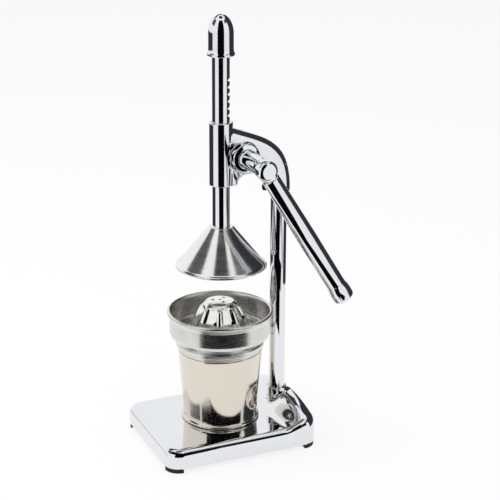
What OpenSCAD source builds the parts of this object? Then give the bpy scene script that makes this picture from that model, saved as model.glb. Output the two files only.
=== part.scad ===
// Lever citrus juice press: a rack and pinion press on a cast base, with a
// loose cup, strainer bowl and reamer under a pressing cone.
// Units are millimetres. +Z is up, -Y is the front, and the lever is on +X.

/* [Base] */
// Width of the base casting
base_w = 118; // [100:1:140]
// Front edge of the base, ahead of the plunger axis
base_front = 74.5; // [70:0.5:90]
// Back edge of the base, behind the plunger axis
base_back = 73; // [70:0.5:85]
// Height of the flat top that the cup stands on
base_top = 21.5; // [18:0.5:30]
// Height of the rear hump's crest
hump_top = 37.5; // [32:0.5:48]
// How far the hump falls from its middle to the sides
hump_fall = 12; // [6:0.5:16]
// Corner radius of the base, seen from above
corner_r = 14; // [12:0.5:20]
// Radius that rounds the base's top edge
edge_r = 7; // [4:0.5:8]
// Wall of the hollow base casting
base_wall = 4; // [3:0.5:6]
// Thickness of the rubber feet
foot_h = 4; // [3:0.5:6]

/* [Column and head] */
// Diameter of the column
column_d = 15.1; // [12:0.1:18]
// Distance from the plunger axis back to the column
column_y = 56.5; // [54:0.5:60]
// Lower edge of the head's column socket
socket_z = 234.4; // [225:0.1:240]
// Outside diameter of the guide tube
tube_d = 21.5; // [20.5:0.1:26]
// Lower end of the guide tube
tube_bottom = 245.5; // [240:0.5:250]
// Upper end of the guide tube
tube_top = 302.8; // [300:0.1:306]
// Half thickness of the head's arm
arm_t = 9; // [8.5:0.1:10]

/* [Rack and pinion] */
// Tooth module
gear_m = 2; // [2:0.1:2]
// Number of pinion teeth
pinion_teeth = 12; // [12:1:12]
// Pressure angle
pressure_angle = 25; // [25:1:28]
// Height of the pinion axis
pinion_z = 271.5; // [271:0.5:273]
// Number of tooth gaps cut in the rod
rack_gaps = 13; // [12:1:13]

/* [Plunger] */
// Diameter of the rod
rod_d = 16; // [16:0.1:16]
// Height of the whole press
total_h = 397.5; // [396:0.5:402]
// Radius of the pressing cone's rim
cone_r = 41.2; // [36:0.1:43]
// Height of the cone's rim when the plunger is up
cone_rim_z = 169.7; // [168:0.1:172]
// Height of the cone's flat top
cone_top_z = 207; // [206:0.1:209]
// Sheet thickness of the cone, bowl, reamer and cup
sheet = 1.2; // [0.8:0.1:1.5]

/* [Lever] */
// Distance from the pinion axis to the lever's end
lever_len = 151; // [120:1:160]
// Diameter of the lever rod in its lower half
lever_d = 17.8; // [16:0.1:18]
// Diameter of the lever rod just under the hub
lever_top_d = 15.4; // [13:0.1:16]
// How far the hanging lever leans back from straight down
lever_lean = 31.6; // [25:0.1:40]
// Distance from the plunger axis out to the lever
lever_x = 54; // [50:0.5:60]

/* [Cup and strainer] */
// How far the loose cup stands ahead of the plunger axis
cup_ahead = 1.3; // [0:0.1:3]
// Outer radius of the cup under its rim
cup_r = 38.6; // [36:0.1:40]
// Outer radius of the cup just above its foot
cup_low_r = 33.6; // [30:0.1:36]
// Height of the cup's rim
cup_top = 90; // [88:0.1:91]
// Outer radius of the bowl's band
bowl_r = 46.2; // [45:0.1:48]
// Height of the bowl's rolled rim
bowl_top = 127.1; // [125:0.1:130]
// Height of the reamer's dome
reamer_top = 138; // [136:0.5:141]

/* [Hidden] */
$fn = 96;
chrome = [0.80, 0.82, 0.85];
steel = [0.72, 0.72, 0.71];
dull = [0.55, 0.55, 0.56];
black = [0.06, 0.06, 0.07];
bronze = [0.72, 0.52, 0.28];

rod_r = rod_d / 2;
column_r = column_d / 2;
tube_r = tube_d / 2;
run_gap = 0.05;                 // radial clearance of a running fit
fit_gap = 0.1;                  // radial clearance of a bolt in its hole
rest_gap = 0.3;                 // gap under a piece that stands loose on another

// Pinion and rack: the rack's pitch line lies one addendum inside the rod's back.
pitch_r = gear_m * pinion_teeth / 2;
pinion_y = rod_r - gear_m + pitch_r;
pinion_out_r = pitch_r + gear_m;
tooth_pitch = PI * gear_m;
dedendum = 1.25 * gear_m;
backlash = 0.12;                // taken off each tooth of the pinion, along the pitch circle
cavity_r = pinion_out_r + 0.6;
cavity_near = 6;                // the pinion cavity's blind end
pad_x = 11.5;                   // outer face of the bearing pad on the far side
cover_t = 3;
shaft_r = 6;
bush_r = 8;
boss_r = 13.3;
boss_x = 18;                    // outer face of the near boss

// The lever leans back from its pivot: unit vector along it, in Y and Z.
lever_dir = [0, sin(lever_lean), -cos(lever_lean)];
lever_r = lever_d / 2;
end_cap_r = 10.1;
end_round = 1.6;                // radius that rounds the end cap's rim
hub_r = 9.4;

// The plunger axis is set so that the whole press is centred on the origin.
x_max = lever_x + end_cap_r;
y_max = pinion_y + (lever_len - end_round) * sin(lever_lean)
        + (end_cap_r - end_round) * cos(lever_lean) + end_round;
plunger_x = -(x_max - base_w / 2) / 2;
plunger_y = -(y_max - base_front) / 2;
base_mid_y = (base_back - base_front) / 2;
base_d = base_back + base_front;
foot_in = 9.5;                 // feet's centres inside the base's edges
foot_x = base_w / 2 - foot_in;
foot_ys = [foot_in - base_front, base_back - foot_in];
foot_spots = [for (x = [-foot_x, foot_x], y = foot_ys) [x, y]];

// ---- helpers ----

// Draws its children in plunger coordinates.
module placed() {
    translate([plunger_x, plunger_y, 0]) children();
}

// Turns +Z to point along +X.
module along_x() {
    rotate([0, 90, 0]) children();
}

// Draws its children with the origin on the pivot and -Z along the hanging lever.
module on_lever() {
    translate([lever_x, pinion_y, pinion_z]) rotate([lever_lean, 0, 0]) children();
}

// A closed solid through rings of points, capped flat at the first and last ring.
module loft(rings) {
    n = len(rings[0]);
    m = len(rings);
    points = [for (ring = rings) each ring];
    sides = [for (k = [0 : m - 2], i = [0 : n - 1])
        let (a = k * n + i, b = k * n + (i + 1) % n)
        each [[a, b, b + n], [a, b + n, a + n]]];
    first_cap = [[for (i = [n - 1 : -1 : 0]) i]];
    last_cap = [[for (i = [0 : n - 1]) (m - 1) * n + i]];
    polyhedron(points = points, faces = concat(sides, first_cap, last_cap), convexity = 6);
}

// A revolved ring between two radii.
module ring(r_out, r_in, h) {
    difference() {
        cylinder(r = r_out, h = h);
        translate([0, 0, -1]) cylinder(r = r_in, h = h + 2);
    }
}

// A hexagonal socket cut for a screw head, from z = 0 downwards.
module hex_socket(flats, depth) {
    translate([0, 0, -depth]) cylinder(r = flats / sqrt(3), h = depth + 1, $fn = 6);
}

// A cheese head screw pointing down, its head's seat on z = 0.
module cheese_screw(r, length, head_r, head_h) {
    difference() {
        union() {
            translate([0, 0, -length]) cylinder(r = r, h = length + head_h / 2);
            rotate_extrude() polygon([[0, 0], [head_r, 0], [head_r, head_h - 0.5],
                                      [head_r - 0.5, head_h], [0, head_h]]);
        }
        translate([0, 0, head_h]) hex_socket(head_r, head_h * 0.6);
    }
}

// ---- base ----

// Height of the base's top before its edge is rounded: flat in front, arched behind.
cove_from = 38;
cove_to = 63;
function smooth(t) = let (c = min(1, max(0, t))) c * c * (3 - 2 * c);
function base_height(x, y) =
    let (crest = hump_top - hump_fall * pow(2 * x / base_w, 2))
    base_top + (crest - base_top) * smooth((y - cove_from) / (cove_to - cove_from));

// How far the rounded edge has dropped at distances dx and dy inside the outline.
function edge_drop(dx, dy) =
    let (ax = max(0, edge_r - dx), ay = max(0, edge_r - dy))
    edge_r - sqrt(max(0, edge_r * edge_r - ax * ax - ay * ay));

// Half width of the base at a distance d from its front or back edge.
function half_width(d) =
    base_w / 2 - corner_r + sqrt(max(0, corner_r * corner_r - pow(max(0, corner_r - d), 2)));

// A slice across the base at y: up one side, over the top and down the other side.
function base_slice(y) =
    let (dy = min(y + base_front, base_back - y), w = half_width(dy), flat = w - edge_r,
         right = concat(
             [for (a = [0, 25, 50, 70]) w - edge_r * (1 - cos(a))],
             [for (i = [0 : 4]) flat * (1 - i / 4)]),
         xs = concat(right, [for (i = [len(right) - 2 : -1 : 0]) -right[i]]))
    concat([[w, y, foot_h]],
           [for (x = xs) [x, y, base_height(x, y) - edge_drop(w - abs(x), dy)]],
           [[-w, y, foot_h]]);

// The slices stand close together where the ends and the cove curve.
end_steps = [0, 0.7, 2.2, 4.5, 8, 14];
slice_ys = concat(
    [for (d = end_steps) d - base_front],
    [-20, cove_from - 4],
    [for (i = [1 : 7]) cove_from + (base_back - end_steps[5] - cove_from) * i / 8],
    [for (k = [len(end_steps) - 1 : -1 : 0]) base_back - end_steps[k]]);

module base_body() {
    loft([for (y = slice_ys) base_slice(y)]);
}

// Plan outline of the base with rounded corners, moved inwards by an inset.
module base_plan(inset) {
    r = corner_r - inset;
    w = base_w - 2 * inset;
    d = base_d - 2 * inset;
    translate([0, base_mid_y]) union() {
        square([w, d - 2 * r], center = true);
        square([w - 2 * r, d], center = true);
        for (x = [-1, 1], y = [-1, 1])
            translate([x * (w / 2 - r), y * (d / 2 - r)]) circle(r = r);
    }
}

module base_hollow() {
    difference() {
        union() {
            translate([0, 0, foot_h - 1]) linear_extrude(base_top - base_wall - foot_h + 1)
                base_plan(base_wall);
            translate([-40, cove_from + 16, foot_h])
                cube([80, base_back - base_wall - cove_from - 16, hump_top - 14.5 - foot_h]);
        }
        translate([0, column_y, boss_bottom]) cylinder(r = 13, h = 40);
        for (p = foot_spots) translate([p[0], p[1], 0]) cylinder(r = 6, h = 40);
    }
}

column_seat = 12.5;              // the column's lower end, inside the base
boss_bottom = 8;

module column_foot() {
    flare_r = 3.2;
    flare_top = hump_top + 4;
    ring_r = column_r + 1.4;
    translate([0, column_y, 0]) rotate_extrude() polygon([
        [0, hump_top - 12], [ring_r + flare_r, hump_top - 12], [ring_r + flare_r, hump_top - 1.5],
        for (a = [0 : 15 : 90]) [ring_r + flare_r * (1 - sin(a)), flare_top - (flare_top - hump_top + 0.6) * cos(a)],
        [0, flare_top]]);
}

module base() {
    color(chrome) placed() difference() {
        union() {
            difference() {
                base_body();
                base_hollow();
            }
            column_foot();
        }
        translate([0, column_y, column_seat]) cylinder(r = column_r + run_gap, h = 60);
        translate([0, column_y, 0]) cylinder(r = 4 + fit_gap, h = 30);
        for (p = foot_spots) translate([p[0], p[1], 0]) cylinder(r = 1.6, h = 14);
    }
}

// Rubber pads under the four corners, following the casting's outline.
module feet() {
    pad = 14;
    color(black) placed() for (p = foot_spots) difference() {
        linear_extrude(foot_h) intersection() {
            base_plan(0.5);
            translate([sign(p[0]) * (base_w - pad) / 2,
                       base_mid_y + sign(p[1] - base_mid_y) * (base_d - pad) / 2])
                square(pad, center = true);
        }
        translate([p[0], p[1], -1]) cylinder(r = 1.8, h = foot_h + 2);
        translate([p[0], p[1], -1]) cylinder(r = 3.4, h = 2.8);
    }
}

module foot_screws() {
    color(dull) placed() for (p = foot_spots)
        translate([p[0], p[1], 1.8]) mirror([0, 0, 1]) cheese_screw(1.5, 11, 2.9, 1.5);
}

// ---- column ----

column_top = socket_z + 24;

module column() {
    color(chrome) placed() translate([0, column_y, column_seat]) difference() {
        rotate_extrude() polygon([
            [0, 0], [column_r - 1, 0], [column_r, 1], [column_r, column_top - column_seat - 1],
            [column_r - 1, column_top - column_seat], [0, column_top - column_seat]]);
        translate([0, 0, -1]) cylinder(r = 4 + fit_gap, h = 27);
    }
}

module column_bolt() {
    color(dull) placed() translate([0, column_y, boss_bottom - 1.6]) mirror([0, 0, 1])
        cheese_screw(4, 28, 6.5, 3.2);
}

module column_washer() {
    color(dull) placed() translate([0, column_y, boss_bottom - 1.6]) ring(8.5, 4 + fit_gap, 1.6);
}

// ---- head ----

clamp_out = 12.6;               // from the column's axis to the clamp screw's seat
clamp_z = socket_z + 3.6;
arm_steps = 16;
arm_edge_r = 3.6;

// Outer edge of the arm: one cubic curve from the guide tube down to the socket.
arm_curve = [[5, tube_top - 3.3], [31, tube_top - 17], [69, socket_z + 52.3], [65.4, socket_z]];
function arm_outer(t) =
    let (u = 1 - t)
    u * u * u * arm_curve[0] + 3 * u * u * t * arm_curve[1]
    + 3 * u * t * t * arm_curve[2] + t * t * t * arm_curve[3];

// Arch under the arm: level beside the tube, up to a crown and down to the socket.
arch_y = 22.5;                   // where the arch's crown is
arch_flat = 0.2;                // share of the steps that lie level beside the tube
arch_left = [10.5, 9.2];          // half width and height of the arch on the tube's side
arch_right = [23.5, tube_bottom - 0.2 + arch_left[1] - socket_z];
function arm_inner(t) =
    let (w = 180 * (t - arch_flat) / (1 - arch_flat), low = tube_bottom - 0.2)
    t < arch_flat ? [5 + (arch_y - arch_left[0] - 5) * t / arch_flat, low]
    : w < 90 ? [arch_y - arch_left[0] * cos(w), low + arch_left[1] * sin(w)]
    : [arch_y - arch_right[0] * cos(w), socket_z + arch_right[1] * sin(w)];

// Rounded rectangle of half sizes a and b, as [across, along] pairs.
function round_section(a, b, r) =
    [for (q = [0 : 3], i = [0 : 5])
        let (sx = (q == 0 || q == 3) ? 1 : -1, sy = q < 2 ? 1 : -1, w = q * 90 + i * 18)
        [sx * (a - r) + r * cos(w), sy * (b - r) + r * sin(w)]];

function arm_ring(t) =
    let (p = arm_inner(t), q = arm_outer(t), mid = (p + q) / 2,
         half = norm(q - p) / 2, u = (q - p) / norm(q - p), thick = arm_t + 1.4 * t * t)
    [for (s = round_section(thick, half, arm_edge_r))
        [s[0], mid[0] + u[0] * s[1], mid[1] + u[1] * s[1]]];

module arm() {
    loft([for (k = [0 : arm_steps]) arm_ring(k / arm_steps)]);
}

cover_screw_r = 17.2;
cover_angles = [90, 210, 330];

module on_pinion_axis() {
    translate([0, pinion_y, pinion_z]) along_x() children();
}

module near_boss() {
    round_r = 2.5;
    on_pinion_axis() rotate_extrude() union() {
        polygon([[0, 0], [boss_r, 0], [boss_r, boss_x - round_r],
                 [boss_r - round_r, boss_x], [0, boss_x]]);
        translate([boss_r - round_r, boss_x - round_r]) circle(r = round_r);
    }
}

module guide_tube() {
    rim = 0.8;
    translate([0, 0, tube_bottom]) rotate_extrude() polygon([
        [0, 0], [tube_r - rim, 0], [tube_r, rim], [tube_r, tube_top - tube_bottom - rim],
        [tube_r - rim, tube_top - tube_bottom], [0, tube_top - tube_bottom]]);
}

module head() {
    socket_r = 9.6;
    color(chrome) placed() difference() {
        union() {
            arm();
            guide_tube();
            near_boss();
            on_pinion_axis() translate([0, 0, -pad_x]) cylinder(r = 20, h = 6);
            translate([0, column_y, socket_z]) cylinder(r = socket_r, h = 20);
            translate([0, column_y, clamp_z]) rotate([90, 0, 0]) cylinder(r = 3.6, h = clamp_out);
        }
        translate([0, 0, tube_bottom - 2])
            cylinder(r = rod_r + run_gap, h = tube_top - tube_bottom + 4);
        translate([0, column_y, socket_z - 1])
            cylinder(r = column_r + run_gap, h = column_top - socket_z + 1.5);
        on_pinion_axis() {
            translate([0, 0, -pad_x - 1]) cylinder(r = cavity_r, h = pad_x + 1 + cavity_near);
            cylinder(r = bush_r, h = boss_x + 2);
            for (a = cover_angles) rotate(a) translate([cover_screw_r, 0, -pad_x - 1])
                cylinder(r = 1.6, h = 8);
        }
        translate([0, column_y, clamp_z]) rotate([90, 0, 0]) cylinder(r = 2 + fit_gap, h = 20);
    }
}

module column_clamp_screw() {
    color(black) placed() translate([0, column_y - clamp_out, clamp_z]) rotate([90, 0, 0])
        cheese_screw(2, clamp_out - column_r - 0.2, 3, 3);
}

// ---- bearings of the pinion shaft ----

pinion_half = 6;                // half of the pinion's face width

module shaft_bush_near() {
    color(bronze) placed() on_pinion_axis() translate([0, 0, cavity_near])
        ring(bush_r, shaft_r + run_gap, boss_x - cavity_near);
}

module shaft_bush_far() {
    color(bronze) placed() on_pinion_axis() translate([0, 0, -pad_x - cover_t + 1.5])
        ring(bush_r, shaft_r + run_gap, 6);
}

module bearing_cover() {
    color(chrome) placed() on_pinion_axis() difference() {
        union() {
            translate([0, 0, -pad_x - cover_t]) rotate_extrude()
                polygon([[0, 0], [19, 0], [20, 1], [20, cover_t], [0, cover_t]]);
            translate([0, 0, -pad_x]) cylinder(r = cavity_r - fit_gap, h = 4);
        }
        translate([0, 0, -pad_x - cover_t + 1.5]) cylinder(r = bush_r, h = 20);
        for (a = cover_angles) rotate(a) translate([cover_screw_r, 0, -pad_x - cover_t - 1])
            cylinder(r = 1.6, h = 10);
    }
}

module cover_screws() {
    color(dull) placed() on_pinion_axis() for (a = cover_angles)
        rotate(a) translate([cover_screw_r, 0, -pad_x - cover_t]) mirror([0, 0, 1])
            cheese_screw(1.5, 8, 2.6, 2);
}

// ---- pinion and shaft ----

base_circle_r = pitch_r * cos(pressure_angle);
root_r = pitch_r - dedendum;

// Angle by which an involute from the base circle has turned at radius r.
function involute_turn(r) =
    let (a = acos(base_circle_r / r)) tan(a) * 180 / PI - a;

// Half of a tooth's angle at radius r.
function half_tooth(r) =
    90 / pinion_teeth - backlash / pitch_r * 90 / PI
    + involute_turn(pitch_r) - involute_turn(max(r, base_circle_r));

function gear_point(r, a) = [r * cos(a), r * sin(a)];

module pinion_outline() {
    flank_steps = 6;
    radii = [root_r, for (i = [0 : flank_steps])
        base_circle_r + (pinion_out_r - base_circle_r) * i / flank_steps];
    polygon([for (k = [0 : pinion_teeth - 1])
        let (mid = k * 360 / pinion_teeth)
        each concat(
            [for (r = radii) gear_point(r, mid - half_tooth(r))],
            [for (i = [len(radii) - 1 : -1 : 0]) gear_point(radii[i], mid + half_tooth(radii[i]))])]);
}

hub_start = boss_x + 0.4;       // the lever hub's inner face
hub_bore_end = lever_x - 6;
pin_x = hub_start + 8;          // where the cross pin holds the hub on the shaft

module pinion_shaft() {
    color(steel) placed() on_pinion_axis() difference() {
        union() {
            translate([0, 0, -pinion_half - 0.5]) linear_extrude(2 * pinion_half) pinion_outline();
            translate([0, 0, -pad_x - cover_t + 1.8])
                cylinder(r = shaft_r, h = hub_bore_end - 0.5 + pad_x + cover_t - 1.8);
        }
        translate([0, 0, pin_x]) rotate([90, 0, 90 - lever_lean]) translate([0, 0, -20])
            cylinder(r = 2 + run_gap, h = 40);
    }
}

// ---- lever ----

neck_r = 8.8;

module lever_hub() {
    dome_h = 7.2;
    socket_end = arm_start - 0.2;
    color(chrome) placed() difference() {
        union() {
            on_pinion_axis() translate([0, 0, hub_start]) rotate_extrude() polygon([
                [0, 0], [neck_r - 1.2, 0], [neck_r, 1.2], [neck_r, lever_x - hub_start - 2],
                [0, lever_x - hub_start - 2]]);
            on_lever() rotate_extrude() polygon([
                [0, -socket_end], [lever_top_d / 2 + 0.2, -socket_end],
                [hub_r - 0.3, 2.6 - socket_end], [hub_r, 3.4 - socket_end],
                for (a = [0 : 15 : 75]) [hub_r * cos(a), dome_h * sin(a)], [0, dome_h]]);
        }
        on_pinion_axis() cylinder(r = shaft_r + run_gap, h = hub_bore_end);
        on_lever() translate([0, 0, -socket_end - 1]) cylinder(r = 5 + fit_gap, h = socket_end - 5.4);
        on_pinion_axis() translate([0, 0, pin_x]) rotate([90, 0, 90 - lever_lean])
            translate([0, 0, -20]) cylinder(r = 2 + run_gap, h = 40);
    }
}

module hub_pin() {
    color(dull) placed() on_pinion_axis() translate([0, 0, pin_x]) rotate([90, 0, 90 - lever_lean])
        translate([0, 0, 0.2 - neck_r]) cylinder(r = 2, h = 2 * neck_r - 0.4);
}

arm_start = 9.5;                // where the lever rod leaves the hub's socket
taper_end = 82;                 // where the lever rod has reached its full diameter

module lever_arm() {
    tip = lever_len - 8;
    color(chrome) placed() on_lever() mirror([0, 0, 1]) union() {
        translate([0, 0, 6.5]) cylinder(r = 5, h = 30);
        rotate_extrude() polygon([
            [0, arm_start], [lever_top_d / 2 - 0.6, arm_start], [lever_top_d / 2, arm_start + 0.6],
            [lever_r, taper_end], [lever_r, tip - 9], [0, tip - 9]]);
        translate([0, 0, 100]) cylinder(r = 5, h = tip - 100);
    }
}

module lever_end_cap() {
    color(chrome) placed() on_lever() mirror([0, 0, 1]) difference() {
        translate([0, 0, lever_len]) rotate_extrude() union() {
            polygon([[0, -17], [lever_r, -17], [lever_r + 0.3, -14.5], [end_cap_r - 0.2, -8],
                     [end_cap_r, -end_round], [end_cap_r - end_round, 0], [5, 1.1], [0, 1.4]]);
            translate([end_cap_r - end_round, -end_round]) circle(r = end_round);
        }
        translate([0, 0, lever_len - 18]) cylinder(r = 5 + fit_gap, h = 10.2);
    }
}

// ---- plunger ----

spigot_r = 4;
nut_h = 4;
washer_t = 1.2;
cone_plate = 2;                 // thickness of the cone's flat top
cap_h = 36;
cap_bottom = total_h - cap_h;
cone_neck_r = 10.7;             // radius of the cone's flat top

module rack_rod() {
    rod_top = total_h - 12;
    half_gap = tooth_pitch / 4;
    slope = tan(pressure_angle);
    color(chrome) placed() difference() {
        union() {
            translate([0, 0, cone_top_z]) cylinder(r = rod_r, h = rod_top - cone_top_z);
            translate([0, 0, cone_top_z - cone_plate - washer_t - nut_h - 0.6])
                cylinder(r = spigot_r, h = 20);
        }
        for (k = [-1 : rack_gaps - 2])
            translate([-rod_r - 1, rod_r - gear_m, pinion_z + k * tooth_pitch])
                rotate([90, 0, 90]) linear_extrude(2 * rod_r + 2) polygon([
                    [-dedendum, -half_gap + dedendum * slope],
                    [gear_m + 0.5, -half_gap - (gear_m + 0.5) * slope],
                    [gear_m + 0.5, half_gap + (gear_m + 0.5) * slope],
                    [-dedendum, half_gap - dedendum * slope]]);
    }
}

module top_cap() {
    side_r = 11.3;
    dome_h = 17;
    shoulder = cap_h - dome_h;
    color(chrome) placed() translate([0, 0, cap_bottom]) difference() {
        rotate_extrude() polygon([
            [0, 0], [side_r + 0.6, 0], [side_r + 1.1, 0.5], [side_r + 1.1, 2], [side_r + 0.3, 3.4],
            for (a = [0 : 7.5 : 75]) [side_r * cos(a), shoulder + dome_h * sin(a)],
            [1.6, cap_h - 0.1], [0, cap_h]]);
        translate([0, 0, -1]) cylinder(r = rod_r + run_gap, h = cap_h - 9);
    }
}

module press_cone() {
    slope = (cone_r - cone_neck_r) / (cone_top_z - cone_rim_z);
    lip_r = 1;
    color(steel) placed() difference() {
        rotate_extrude() union() {
            polygon([
                [0, cone_top_z - cone_plate], [cone_neck_r - 1.2, cone_top_z - cone_plate],
                [cone_r - 1.7, cone_rim_z + 0.6], [cone_r - 1.4, cone_rim_z],
                [cone_r, cone_rim_z], [cone_r, cone_rim_z + 1.2],
                [cone_neck_r + slope, cone_top_z - 1], [cone_neck_r - 1, cone_top_z], [0, cone_top_z]]);
            translate([cone_r - lip_r + 0.3, cone_rim_z + lip_r]) circle(r = lip_r);
        }
        translate([0, 0, cone_top_z - 20]) cylinder(r = spigot_r + fit_gap, h = 40);
    }
}

module cone_washer() {
    color(dull) placed() translate([0, 0, cone_top_z - cone_plate - washer_t])
        ring(7.6, spigot_r + fit_gap, washer_t);
}

module cone_nut() {
    color(dull) placed() translate([0, 0, cone_top_z - cone_plate - washer_t - nut_h]) difference() {
        cylinder(r = 13 / sqrt(3), h = nut_h, $fn = 6);
        translate([0, 0, -1]) cylinder(r = spigot_r + fit_gap, h = nut_h + 2);
    }
}

// ---- cup, strainer bowl and reamer ----

module on_cup_axis() {
    translate([0, -cup_ahead, 0]) children();
}

cup_bottom = base_top + rest_gap;
neck_z = cup_top - 10;          // step under the cup's neck

module juice_cup() {
    bead_r = 1.3;
    foot_bead = 1.4;
    in = sheet;
    color(steel) placed() on_cup_axis() rotate_extrude() union() {
        difference() {
            polygon([
                [0, cup_bottom + 1.2], [cup_low_r - 3, cup_bottom + 1.2],
                [cup_low_r - 1.5, cup_bottom], [cup_low_r + 0.8, cup_bottom],
                [cup_low_r, cup_bottom + 4], [cup_r - 0.6, neck_z - 0.8], [cup_r, neck_z],
                [cup_r, cup_top - 1], [cup_r - in, cup_top - 1], [cup_r - in, neck_z],
                [cup_r - 0.6 - in, neck_z - 0.8], [cup_low_r - in, cup_bottom + 4],
                [cup_low_r - in - 2, cup_bottom + 1.2 + in], [0, cup_bottom + 1.2 + in]]);
        }
        translate([cup_r + 0.5, cup_top - bead_r]) circle(r = bead_r);
        translate([cup_low_r + 1, cup_bottom + foot_bead]) circle(r = foot_bead);
    }
}

bowl_seat = cup_top + rest_gap;
skirt_r = cup_r - sheet - 0.5;
skirt_drop = 7;
ledge_z = 101.5;

module strainer_bowl() {
    in = sheet;
    roll_r = 1.5;
    wall_foot = ledge_z - 4;
    color(steel) placed() on_cup_axis() rotate_extrude() union() {
        polygon([
            [skirt_r, bowl_seat - skirt_drop], [skirt_r, bowl_seat], [skirt_r + 3.6, bowl_seat],
            [skirt_r + 5.6, bowl_seat + 3], [bowl_r - 1.6, wall_foot], [bowl_r, wall_foot + 1.6],
            [bowl_r, bowl_top - 7], [bowl_r + 0.9, bowl_top - 2.4],
            [bowl_r + 0.9 - in, bowl_top - 2], [bowl_r - in, bowl_top - 6.6],
            [bowl_r - in, wall_foot + 2.6], [bowl_r - 2.4, wall_foot + 1.8],
            [41, ledge_z], [skirt_r - in, ledge_z], [skirt_r - in, bowl_seat - skirt_drop]]);
        translate([bowl_r + 0.7, bowl_top - roll_r]) circle(r = roll_r);
    }
}

dome_r = 15;
dome_z = reamer_top - 6.5;      // lower edge of the dome
foot_z = ledge_z + sheet;
rib_count = 8;
rib_turn = 21;
hole_turn = 11;

// Half outline of the reamer's outside, from the flange up to the dome's edge.
function reamer_side(grow) = [
    [27.5, foot_z], [25 + grow, foot_z + 3.6], [21 + grow, foot_z + 12],
    [18 + grow, foot_z + 22], [dome_r + grow * 0.6, dome_z - 1.4]];

module reamer_skin(grow) {
    dome_ball = (dome_r * dome_r + 6.5 * 6.5) / 13;
    rotate_extrude() union() {
        polygon(concat([[0, foot_z - 1.2], [40, foot_z - 1.2], [40, foot_z]], reamer_side(grow),
                       [[dome_r - 0.8, dome_z - 0.8], [dome_r - 0.8, dome_z], [0, dome_z]]));
        intersection() {
            translate([0, reamer_top - dome_ball]) circle(r = dome_ball);
            translate([0, dome_z]) square([dome_r, 8]);
        }
    }
}

module reamer_hollow() {
    dome_ball = (dome_r * dome_r + 6.5 * 6.5) / 13;
    rotate_extrude() union() {
        polygon(concat([[0, foot_z - 3], [26.5, foot_z - 3], [26.5, foot_z - 1.2]],
                       [for (p = reamer_side(0)) [p[0] - sheet * 1.1, p[1] - sheet * 0.5]],
                       [[dome_r - 2, dome_z - 1.2], [0, dome_z - 1.2]]));
        intersection() {
            translate([0, reamer_top - dome_ball]) circle(r = dome_ball - sheet);
            translate([0, dome_z - 1.3]) square([dome_r - 2, 8]);
        }
    }
}

module reamer() {
    rib_t = 2.6;
    color(steel) placed() on_cup_axis() difference() {
        union() {
            reamer_skin(0);
            intersection() {
                reamer_skin(1.7);
                for (k = [0 : rib_count / 2 - 1]) rotate(rib_turn + k * 360 / rib_count)
                    translate([-30, -rib_t / 2, foot_z - 1]) cube([60, rib_t, dome_z - foot_z]);
            }
        }
        reamer_hollow();
        translate([0, 0, reamer_top - 10]) cylinder(r = 1, h = 20);
        for (a = [6, 126, 246]) rotate(a) translate([6.5, 0, reamer_top - 10])
            cylinder(r = 1.3, h = 20);
        for (k = [0 : rib_count - 1]) rotate(hole_turn + k * 360 / rib_count)
            translate([24, 0, foot_z - 2]) rotate([0, 35, 0]) cylinder(r = 1.6, h = 20);
    }
}

// ---- draw ----

base();
feet();
foot_screws();
column();
column_bolt();
column_washer();
head();
column_clamp_screw();
shaft_bush_near();
shaft_bush_far();
bearing_cover();
cover_screws();
pinion_shaft();
lever_hub();
hub_pin();
lever_arm();
lever_end_cap();
rack_rod();
top_cap();
press_cone();
cone_washer();
cone_nut();
juice_cup();
strainer_bowl();
reamer();
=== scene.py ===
"""Lever citrus juice press on a cast chromed base, in a plain pale studio.

Lengths in the properties are metres. Inside the operators the pieces are worked out in
millimetres in plunger coordinates: the origin is on the worktop under the plunger rod,
+Z is up, -Y is the front and the lever is on +X.
"""
import math
from itertools import product
from types import SimpleNamespace

import bmesh
import bpy
import numpy as np
from bpy.props import FloatProperty, IntProperty, PointerProperty, StringProperty
from mathutils import Matrix, Vector


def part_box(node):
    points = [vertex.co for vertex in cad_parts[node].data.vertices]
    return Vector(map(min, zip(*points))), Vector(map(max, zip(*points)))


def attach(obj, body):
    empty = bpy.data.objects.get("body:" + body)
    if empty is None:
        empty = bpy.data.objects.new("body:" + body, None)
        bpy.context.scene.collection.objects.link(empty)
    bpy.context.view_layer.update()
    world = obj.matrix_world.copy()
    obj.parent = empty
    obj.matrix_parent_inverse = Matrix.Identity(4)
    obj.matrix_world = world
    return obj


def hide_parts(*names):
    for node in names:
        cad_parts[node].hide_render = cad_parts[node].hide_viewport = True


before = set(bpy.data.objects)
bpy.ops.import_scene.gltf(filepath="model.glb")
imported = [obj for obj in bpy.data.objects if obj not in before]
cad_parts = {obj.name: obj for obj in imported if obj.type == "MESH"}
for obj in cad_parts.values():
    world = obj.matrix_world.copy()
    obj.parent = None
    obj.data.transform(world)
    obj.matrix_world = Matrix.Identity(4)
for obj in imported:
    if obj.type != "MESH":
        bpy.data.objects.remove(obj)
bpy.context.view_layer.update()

bl_info = {
    "name": "Lever juice press",
    "version": (1, 0, 0),
    "blender": (4, 5, 0),
    "location": "3D View > Sidebar > Juice press",
    "description": "Builds a lever citrus juice press with its finishes and studio",
    "category": "Object",
}


# ---- sizes, finishes and stage settings ----

def length(text, metres):
    """A length that the user may change, in metres."""
    return FloatProperty(name=text, description=text, default=metres, unit="LENGTH", min=0)


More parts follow.
